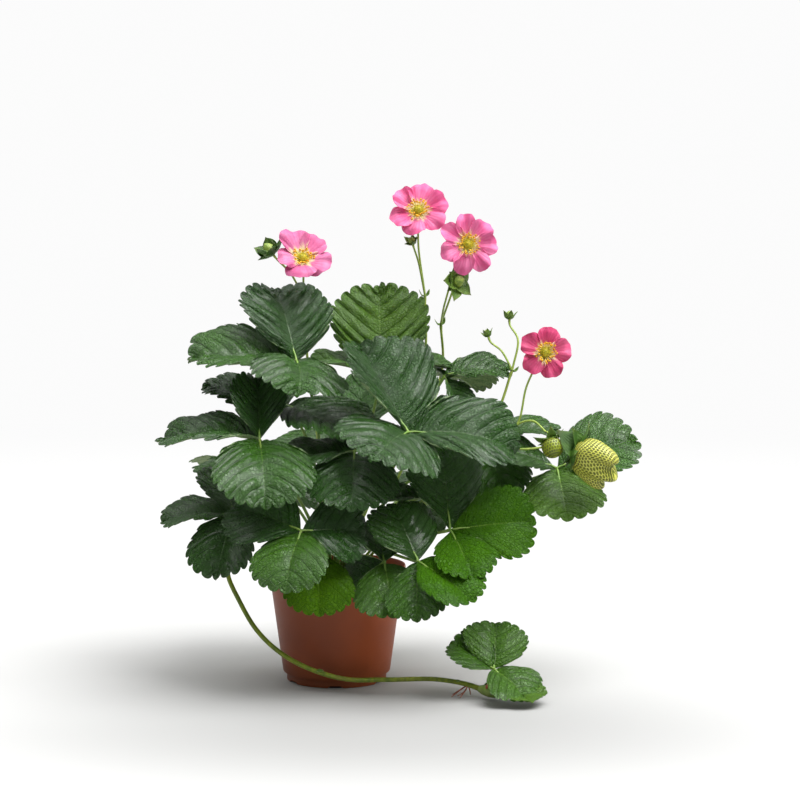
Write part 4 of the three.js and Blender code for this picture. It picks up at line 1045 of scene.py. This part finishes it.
def add_berry(build, plan, place, facing):
    """One berry with its pits, and a seed in each pit that has room for one."""
    rows, columns = plan["rows"], plan["columns"]
    seed_rows, seed_columns = plan["seed_rows"], plan["seed_columns"]
    share, turn = np.broadcast_arrays(np.linspace(0.004, 0.999, rows).reshape(-1, 1), circle(columns))
    skin, faces = berry_surface(plan, share, turn), capped_faces(rows, columns)
    around = np.linalg.norm(skin - np.roll(skin, 1, 1), axis=-1).sum(1) / seed_columns
    down = plan["length"] * 1.15 / seed_rows
    v, u = share * seed_rows, turn / (2 * math.pi) * seed_columns
    nearest = np.full(v.shape, 99.0)
    for row in (np.floor(v - 0.5), np.floor(v - 0.5) + 1):
        shifted = u - (row % 2) / 2
        sideways = (shifted - np.round(shifted)) * around[:, None]
        nearest = np.minimum(nearest, np.hypot(sideways, (v - 0.5 - row) * down))
    spacing = math.sqrt(down * around.max())
    pit = np.exp(-(nearest / (0.36 * spacing)) ** 2) * smooth(0.1, 0.5, around / around.max())[:, None]
    normals = point_normals(skin.reshape(-1, 3), faces[0]).reshape(skin.shape)
    normals *= np.sign((normals * (skin - [0, 0, plan["length"] * 0.4])).sum(-1, keepdims=True))
    skin = skin - normals * (plan["pit"] * pit)[..., None]
    points = np.concatenate([skin.reshape(-1, 3), [[0, 0, 0], skin[-1].mean(0)]])
    build.add(placed(points, place, facing), faces, 0,
              pit=np.append(pit.ravel(), [0, 0.3]), out=np.append(share.ravel(), [0, 1]))
    seed, seed_faces = egg(plan["seed"], plan["seed"] * 2.6, 6, 5)
    seed = (seed - [0, 0, plan["seed"] * 1.3]) * (1, 0.7, 1)
    for row, column in np.ndindex(seed_rows, seed_columns):
        at, angle = (row + 0.5) / seed_rows, (column + (row % 2) / 2) * 2 * math.pi / seed_columns
        shares, turns = np.array([at, at + NUDGE, at]), np.array([angle, angle, angle + NUDGE])
        here, further, aside = berry_surface(plan, shares, turns)
        ahead, beside = further - here, aside - here
        if np.linalg.norm(beside) / NUDGE * 2 * math.pi / seed_columns < plan["seed"] * 1.6:
            continue
        out = unit(np.cross(beside, ahead))
        local = seed @ np.array([unit(beside), out, unit(ahead)])
        build.add(placed(local + here - out * plan["pit"] * 0.75, place, facing), seed_faces, 1)


print("fruit helpers ready")

# %% Make the trusses, flowers and fruits
GAP, SEPAL_PLATE, DISC = 0.3, 0.7, 1.2  # how the heads are seated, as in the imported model
for name, plan in TRUSSES.items():
    build = Build()
    stalk = smooth_path([crown_point(plan["foot"]), *plan["stalk"]])
    radii = np.linspace(1.35, 1.15, len(stalk))
    radii[-3:] *= (1.05, 1.25, 1.1)
    add_tube(build, stalk, radii, 10, SHOOT)
    add_hairs(build, stalk, radii, 240, 1.0, DOWN, 0.25)
    fork, ahead = stalk[-1], unit(stalk[-1] - stalk[-3])
    for side in (40, 190):
        add_sepal(build, fork - UP, ahead, math.radians(side), 9, 60, 20, PALE_SEPAL, DOWN)
    for branch in plan["branches"]:
        place, facing = np.array(branch["at"], float), direction(*branch["facing"])
        flower = "flower" in branch
        seat = 0 if "bud" in branch else GAP + SEPAL_PLATE / 2 + (DISC / 2 if flower else 0)
        path = smooth_path([fork, *branch["via"], place - facing * (seat + 5), place - facing * seat], 2.0)
        radii = np.linspace(0.95, 0.85, len(path))
        radii[-2:] *= 1.3
        add_tube(build, path, radii, 8, SHOOT)
        add_hairs(build, path, radii, 130, 0.9, DOWN)
        if "bud" in branch:
            radius, sepals, cup = branch["bud"]
            lift, curl, vary, broad = (25, -25, 14, 1.15) if radius < 4 else (12, -10, 26, 1.7)
            add_bud(build, place, facing, radius * 0.92)
            paint = DARK_SEPAL if radius == 6 else PALE_SEPAL
            add_calyx(build, place, facing, sepals * 1.2, [cup + lift], paint, DOWN, curl, vary, broad)
        elif flower:
            add_calyx(build, place - facing * seat, facing, 12, [4], PALE_SEPAL, DOWN)
        else:
            add_calyx(build, place - facing * seat, facing, branch["sepals"] * 1.3, branch["cups"],
                      branch["sepal_paint"], DOWN, curl=-15, broad=branch["broad"])
        if flower:
            paint = petal_paint(f"{branch['flower']}_pink", *FLOWER_PINKS[branch["flower"]])
            corolla, cone = Build(), Build()
            add_corolla(corolla, place, facing, branch)
            corolla.make(f"{branch['flower']}_petals", "petal", [paint])
            add_middle(cone, place, facing)
            cone.make(f"{branch['flower']}_middle", "flower_middle", [flower_cone, filament, anther])
        if "fruit" in branch:
            berry, skin = Build(), unripe_skin if branch["fruit"] == "fruit_large" else green_skin
            add_berry(berry, FRUITS[branch["fruit"]], place, facing)
            berry.make(branch["fruit"], "fruit", [skin, seed_coat])
    build.make(name, "stem", truss_materials)
print("trusses done, triangles so far:", sum(totals.values()))

# %% [markdown]
# ## Runner and plantlet
#
# A runner is a long bare stem that creeps over the pot's rim and roots where it touches the ground. At its
# end sits a plantlet: a short thick crown with a few small bright leaves and reddish young roots.

# %% Runner
RUNNER = {"foot": (178, 14.5), "radius": 2.0, "route": [
    (-34, -8, 126), (-66, -26, 128), (-89, -38, 116), (-91, -42, 99), (-81, -46, 76), (-66, -52, 52),
    (-46, -58, 34), (-21, -62, 21), (10, -66, 13), (45, -68, 13), (85, -71, 14), (110, -76, 11),
    (124, -82, 7.5)]}
ROOTS = [
    [(112, -77, 10.6), (106, -75.5, 6.5), (99, -73, 1.4)],
    [(112, -77, 10.6), (109, -80, 5.5), (105, -84, 1.2)],
    [(112, -77, 10.6), (113.5, -75, 5), (114, -72, 1.2)],
    [(108, -76.5, 8), (103, -78, 4.5), (98, -80, 1)],
    [(110, -79, 7), (108, -77, 4), (103, -76, 0.9)]]
root_red = soft_paint("root_red", (0.42, 0.14, 0.08), (0.25, 0.07, 0.04), 500, 0.45, 0.15)
build = Build()
path = smooth_path([crown_point(RUNNER["foot"]), *RUNNER["route"]])
radii = np.full(len(path), RUNNER["radius"])
radii[-8:] *= np.linspace(1, 1.25, 8)
add_tube(build, path, radii, 14, 0)
add_hairs(build, path, radii, 260, 1.0, 2, 0.35)
for root in ROOTS:
    way = smooth_path(root, 1.5)
    add_tube(build, way, np.linspace(0.75, 0.35, len(way)), 7, 1)
for spot, size in ((0.63, 8), (0.93, 6)):
    index = int(spot * len(path))
    ahead = unit(path[index + 1] - path[index - 1])
    for side in (90, 200):
        add_sepal(build, path[index], ahead, math.radians(side), size, 78, 10, 3, 2)
build.make("runner", "stem", [runner_stalk, root_red, hair, sepal_green])
print("runner points:", len(path), "young roots:", len(ROOTS))

# %% Plantlet
PLANTLET = {
    "from": (121, -81, 8.2), "to": (138, -90, 5.6), "radius": 5, "stalk": 2,
    "leaves": [
        {"hub": (133, -86, 26), "teeth": 7, "leaflets": [
            (165, 36, 40, -30, 20, 12, 1.1, 0.55), (82, 58, 42, 12, 25, 10, 1.3, 0.65),
            (-45, -14, 40, 8, 34, 8, 1.35, 0.6)]},
        {"hub": (152, -103, 7), "teeth": 5, "leaflets": [
            (-66, 4, 23, 0, 6, 10, 1.2, 0.95), (2, 12, 22, 10, 10, 10, 1.1, 1.0)]}],
}
build = Build()
start, end = np.array(PLANTLET["from"]), np.array(PLANTLET["to"])
t = np.linspace(0, 1, 12)
path = start + np.outer(t, end - start)
swell = np.interp(t, [0, 0.15, 0.5, 0.85, 1], [0.55, 0.8, 1, 0.85, 0.45])
add_tube(build, path, PLANTLET["radius"] * swell, 20, 2)
for i, side in enumerate((20, 110, 200, 290, 65, 155)):
    add_sepal(build, start + (end - start) * (0.1 + 0.12 * i) + UP * 1.5, unit(end - start + UP * 4),
              math.radians(side), 11, 66, 14, 4 if i % 2 else 5, 3)
for leaf in PLANTLET["leaves"]:
    hub = np.array(leaf["hub"], float)
    base = end + 0.4 * (start - end)
    path = base + np.outer(np.linspace(0, 1, 8), hub + unit(hub - base) - base)
    add_tube(build, path, STALK, 10, STEM)
    add_hairs(build, path, STALK, 120, 1.2, HAIRS)
    for row in leaf["leaflets"]:
        add_leaflet(build, hub, row, PLANTLET["stalk"], leaf["teeth"])
build.make("plantlet", "leaf", [leaf_upper, leaf_under, leaf_stalk, hair, sepal_green, root_red])
print("plantlet leaves:", len(PLANTLET["leaves"]))

# %% [markdown]
# ## Crown and soil
#
# All stems stand in the crown, a knobbly short trunk covered with the papery brown bases of old leaves.
# Round it lies dark peaty soil, a lumpy surface strewn with crumbs.

# %% Crown
crown_bark = soft_paint("crown_bark", (0.13, 0.12, 0.03), (0.06, 0.045, 0.015), 160, 0.7, 0.5)
old_bract = soft_paint("old_bract", (0.2, 0.12, 0.05), (0.09, 0.05, 0.02), 200, 0.7, 0.4)
CROWN = [(0.2, 76), (11, 76), (15, 81), (18.2, 88), (18, 92), (15, 98), (11, 99.6), (6, 100), (0.2, 100)]
BRACTS, BRACT_REACH = 44, 17.2  # how many old leaf bases, and how far from the middle the last one stands
build = Build()
turn = circle(60)
r, z = np.array(CROWN).T[..., None]
r = r * (1 + 0.035 * (np.sin(turn * 5 + z * 0.4) + np.sin(turn * 9 - z * 0.7)) / 2)
build.add(turned(r, z, turn), grid_faces(len(CROWN), 60, around=True), 0)
for i in range(BRACTS):
    azimuth, out = i * MIDDLE["golden"], BRACT_REACH * math.sqrt((i + 6) / 50)
    foot = direction(azimuth, 0) * out + UP * (97 - 7 * (out / BRACT_REACH) ** 2)
    leaning = unit(direction(azimuth, 0) * out / 30 + UP)
    add_sepal(build, foot, leaning, math.radians(azimuth), chance.uniform(7, 11), 78, 10, 1, 2)
build.make("crown", "stem", [crown_bark, old_bract, hair])
print("crown bracts:", BRACTS)

# %% Soil
SOIL_TOP, SOIL_SIDES, CRUMBS = 87, 144, 1500
BURIED = [(0.2, 2.3), (41.4, 2.3), (41.4, 7), (44.9, 9.3), (55.4, 86)]  # radius and height inside the pot


def soil_paint():
    """Nearly black peat with paler fibres in it."""
    paint = Paint("peaty_soil")
    grain, fine = paint.noise(120, 5), paint.noise(600, 3)
    brown = paint.mix(grain.ramp(0.3, 0.7), (0.012, 0.007, 0.004), (0.045, 0.026, 0.014))
    brown = paint.mix(fine.ramp(0.6, 0.75) * 0.5, brown, (0.11, 0.07, 0.04))
    return paint.finish(paint.shader({"Base Color": brown, "Roughness": grain.ramp(0.3, 0.7, 0.85, 0.98),
                                      "Normal": paint.bump(grain + fine * 0.5, 1.2)}))


def soil_level(x, y):
    """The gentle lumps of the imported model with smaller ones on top."""
    r = np.hypot(x, y)
    low = 1.6 * np.sin(x * 0.21 + r * 0.3) * np.cos(y * 0.17 - r * 0.2) * smooth(55, 38, r)
    return SOIL_TOP + low + 0.5 * np.sin(x * 0.9 + 1) * np.sin(y * 0.8) + 0.3 * np.sin(x * 2.1 + y * 1.3)


build = Build()
side = np.array(BURIED)
r = np.concatenate([side[:, 0], np.linspace(55.4, 0.2, 60)]).reshape(-1, 1)
soil = turned(r, 0, circle(SOIL_SIDES))
soil[..., 2] = soil_level(soil[..., 0], soil[..., 1])
soil[:len(side), :, 2] = side[:, 1:]
build.add(soil, grid_faces(len(r), SOIL_SIDES, around=True), 0)
crumb = np.array([[1, 0, 0], [0, 1, 0], [-1, 0, 0], [0, -1, 0], [0, 0, 0.8], [0, 0, -0.8]])
crumb_faces = np.array([[0, 1, 4], [1, 2, 4], [2, 3, 4], [3, 0, 4],
                        [1, 0, 5], [2, 1, 5], [3, 2, 5], [0, 3, 5]])
for _ in range(CRUMBS):
    out, azimuth = 54 * math.sqrt(chance.uniform(0.1, 1)), chance.uniform(0, 2 * math.pi)
    x, y = out * math.cos(azimuth), out * math.sin(azimuth)
    shape = crumb * chance.uniform(0.5, 1.7) * chance.uniform(0.6, 1.3, (6, 3))
    lie = unit(chance.normal(size=3) + UP * 1.2)
    build.add(placed(shape, (x, y, soil_level(x, y) + 0.3), lie), crumb_faces, 0)
build.make("soil", "soil", [soil_paint()], 40)
print("soil crumbs:", CRUMBS)

# %% [markdown]
# ## The pot
#
# The pot is a thin tapered plastic nursery pot with a straight rim, a set-back foot and four drain holes.
# Six shallow notches in the foot let the water out. The wall is one turned profile, and the floor with its
# holes is a triangulated disc that shares the edge points of the wall.

# %% Pot
POT = {"sides": 192, "notches": 6, "notch_width": 11.0, "notch_height": 2.6, "foot": 43.0, "drains": 4,
       "drain_ring": 27.0, "drain_radius": 4.0, "drain_sides": 32, "floor": 2.0}
WALL = [  # radius, height and how much of a notch reaches this ring, from the floor's edge outside to inside
    (39.7, 0, 0), (39.9, 0.05, 0.7), (42.4, 0.05, 0.95), (42.9, 0.35, 1), (43.0, 1.2, 0.75), (43.05, 4, 0),
    (43.1, 6.4, 0), (43.6, 7.2, 0), (46.0, 7.7, 0), (46.5, 8.6, 0), (48.0, 19.6, 0), (50.0, 34.2, 0),
    (53.0, 56.1, 0), (55.6, 75, 0), (57.6, 89.6, 0), (57.9, 90.7, 0), (59.3, 91, 0), (59.9, 91.6, 0),
    (60.0, 93, 0), (60.0, 98.8, 0), (59.7, 99.8, 0), (59.3, 100, 0), (58.9, 99.8, 0), (58.7, 99, 0),
    (58.7, 92.5, 0), (58.4, 91.2, 0), (57.0, 90.6, 0), (56.5, 90, 0), (51.7, 56, 0), (46.7, 19.6, 0),
    (45.2, 9.3, 0), (44.6, 8.4, 0), (42.2, 7.4, 0), (41.7, 6.6, 0), (41.7, 2, 0)]


def pot_paint():
    """Brown plastic with fine turned rings, painted light towards the lamp and painted shade in the notches.
    """
    paint = Paint("terracotta_plastic")
    high, side = paint.place().axis("Z"), paint.place().axis("X")
    cloud, fine = paint.noise(14, 4), paint.noise(420, 2)
    brown = paint.mix(cloud.ramp(0.3, 0.7), (0.22, 0.044, 0.010), (0.29, 0.062, 0.015))
    brown = paint.mix(high.ramp(0.03, 0.0) * 0.4, brown, (0.13, 0.045, 0.012))
    # painted light: the side towards the lamp, +X, is painted nearly twice as bright and warmer
    brown = paint.mix(side.ramp(-0.01, 0.06), brown, brown * (1.9, 1.75, 1.5))
    # painted shade: the roofs of the notches are painted nearly black
    brown = paint.mix(paint.stored("slot").ramp(0.3, 0.8), brown, (0.01, 0.004, 0.002))
    rings = (high * 2600).wave() * 0.5 + 0.5
    rough = cloud.ramp(0.25, 0.75, 0.38, 0.52) + fine.ramp(0.4, 0.8) * 0.06
    shader = paint.shader({"Base Color": brown, "Roughness": rough, "Specular IOR Level": 0.35,
                           "Normal": paint.bump(rings * 0.25 + fine * 0.5 + cloud * 6, 0.06)})
    return paint.finish(paint.see_through(shader, (0.6, 0.12, 0.02), 0.1))


build = Build()
turn, sides = circle(POT["sides"]), POT["sides"]
between_notches = 360 / POT["notches"]
apart = np.degrees(turn) % between_notches - between_notches / 2  # degrees from the nearest notch's middle
half_width, from_middle = POT["notch_width"] / 2, np.abs(np.radians(apart)) * POT["foot"]
notch = smooth(half_width + 0.6, half_width - 0.4, from_middle)
r, z, lifted = np.array(WALL).T[..., None]
wall = turned(r, np.maximum(z, lifted * notch * POT["notch_height"]), turn).reshape(-1, 3)
centres = turned(POT["drain_ring"], 0, circle(POT["drains"]))[:, None, :2]
holes = centres + turned(POT["drain_radius"], 0, circle(POT["drain_sides"]))[:, :2]
holes = holes.reshape(-1, 2)
ring = np.arange(len(holes)).reshape(POT["drains"], -1)
loops = np.stack([ring, np.roll(ring, -1, axis=1)], -1).reshape(-1, 2)
edge = np.stack([np.arange(sides), np.roll(np.arange(sides), -1)], -1)
points, faces = [wall], [grid_faces(len(WALL), sides, around=True)]
for first, level in ((0, 0.0), (len(wall) - sides, POT["floor"])):
    flat = np.concatenate([wall[first:first + sides, :2], holes])
    edges = np.concatenate([edge, loops + sides]).tolist()
    triangles = np.array(delaunay_2d_cdt([Vector(p) for p in flat.tolist()], edges, [], 1, 1e-6)[2])
    away = np.linalg.norm(flat[triangles].mean(1)[:, None] - centres[:, 0], axis=-1).min(1)
    triangles = triangles[away >= POT["drain_radius"] * 0.97]
    start = sum(len(some) for some in points)
    triangles = np.where(triangles < sides, triangles + first, triangles - sides + start)
    faces.append(triangles if first else triangles[:, ::-1])
    points.append(np.column_stack([holes, np.full(len(holes), level)]))
low = loops + len(wall)
faces.append(np.stack([low[:, 0], low[:, 0] + len(holes), low[:, 1] + len(holes), low[:, 1]], -1))
# painted shade: this marks the roofs of the notches, which the pot's paint turns nearly black
dark = ((np.arange(len(WALL)) < 3)[:, None] * notch).ravel()  # the roofs of the notches
build.add(np.concatenate(points), faces, 0, slot=np.concatenate([dark, np.zeros(2 * len(holes))]))
build.make("pot", "pot", [pot_paint()], 35)
print("pot rings:", len(WALL), "drain holes:", POT["drains"])

# %% [markdown]
# ## Floor, light and camera
#
# The plant stands on a plain pale floor in front of nothing. A wide white sky gives even light, one big
# soft lamp above and in front gives the gentle shadow beside the pot, and a painted shadow darkens the
# floor just in front of the pot. Far from the plant the floor turns into the colour of the sky, so no line
# shows where the floor ends. The camera looks slightly down from the height of the leaves.

# %% Floor and light
SKY, FILL, TOP = 0.97, 0.22, 2.4  # the sky's brightness near the horizon, half way up and overhead
FLOOR_RADIUS, FLOOR_SIDES = 4.0, 96  # in metres


def floor_paint():
    """A pale floor with a painted shadow in front of the pot, which turns into the sky far away."""
    paint = Paint("floor")
    far = paint.place((1, 1, 0)).distance().ramp(0.5, 2.2)
    # painted shadow: an oval patch round a spot 0.2 m in front of the pot is painted darker, under a faint
    # grain
    near = (paint.place((0.55, 1, 0)) + (-0.02, 0.2, 0)).distance()
    grain = paint.noise(3, 3) * 0.1 + near.ramp(0.04, 0.24, 0.0, 0.9)
    matt = paint.shader({"Base Color": paint.mix(grain, (0.30, 0.30, 0.296), (0.44, 0.44, 0.435)),
                         "Roughness": grain.ramp(0.0, 1.0, 0.65, 0.75)})
    sky = paint.node("ShaderNodeEmission", {}, {"Color": (SKY, SKY, SKY), "Strength": 1.0}, "Emission")
    return paint.finish(paint.node("ShaderNodeMixShader", {}, {0: far, 1: matt, 2: sky}, "Shader"))


floor_mesh = bpy.data.meshes.new("floor")
edge = turned(FLOOR_RADIUS, 0, circle(FLOOR_SIDES))
floor_mesh.from_pydata(edge.tolist(), [], [list(range(FLOOR_SIDES))])
floor_mesh.materials.append(floor_paint())
floor = bpy.data.objects.new("floor", floor_mesh)
bpy.context.scene.collection.objects.link(floor)

world = bpy.data.worlds.new("sky")
sky = Paint(world)
toward = sky.node("ShaderNodeTexCoord", output="Generated")
height, behind = toward.axis("Z"), toward.axis("Y").ramp(-0.1, 0.35)
glow = height.ramp(0.1, 0.35, SKY - FILL, 0.0) * behind + height.ramp(0.6, 0.85, 0.0, TOP - FILL) + FILL
light = sky.node("ShaderNodeBackground", {}, {"Color": (1, 1, 1), "Strength": glow}, "Background")
bpy.context.scene.world = sky.finish(light, "ShaderNodeOutputWorld")

lamp = bpy.data.lights.new("softbox", "SUN")
lamp.energy, lamp.angle = 4.6, math.radians(52)
holder = bpy.data.objects.new("softbox", lamp)
holder.rotation_euler = (math.radians(12), math.radians(26), 0)
bpy.context.scene.collection.objects.link(holder)
print("floor and lamp ready")

# %% The camera
SENSOR, ZOOM = 36.0, 2.92  # the width of the sensor, and the lens's length counted in such widths
EYE, AIM = (0.055, -2.0, 0.425), 0.2426  # where the camera stands, and the height that it looks at, in metres
camera = bpy.data.cameras.new("camera")
camera.sensor_width, camera.lens = SENSOR, SENSOR * ZOOM
viewer = bpy.data.objects.new("camera", camera)
viewer.location = EYE
viewer.rotation_euler = (math.pi / 2 - math.atan2(EYE[2] - AIM, -EYE[1]), 0, 0)
bpy.context.scene.collection.objects.link(viewer)
bpy.context.scene.camera = viewer
bpy.context.scene.view_settings.view_transform = "Standard"
print("camera at", EYE, "with a lens of", round(camera.lens, 2), "mm")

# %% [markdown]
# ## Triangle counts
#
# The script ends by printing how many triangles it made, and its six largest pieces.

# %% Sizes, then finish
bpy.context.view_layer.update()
print("triangles:", sum(totals.values()), "largest:", sorted(totals.items(), key=lambda item: -item[1])[:6])
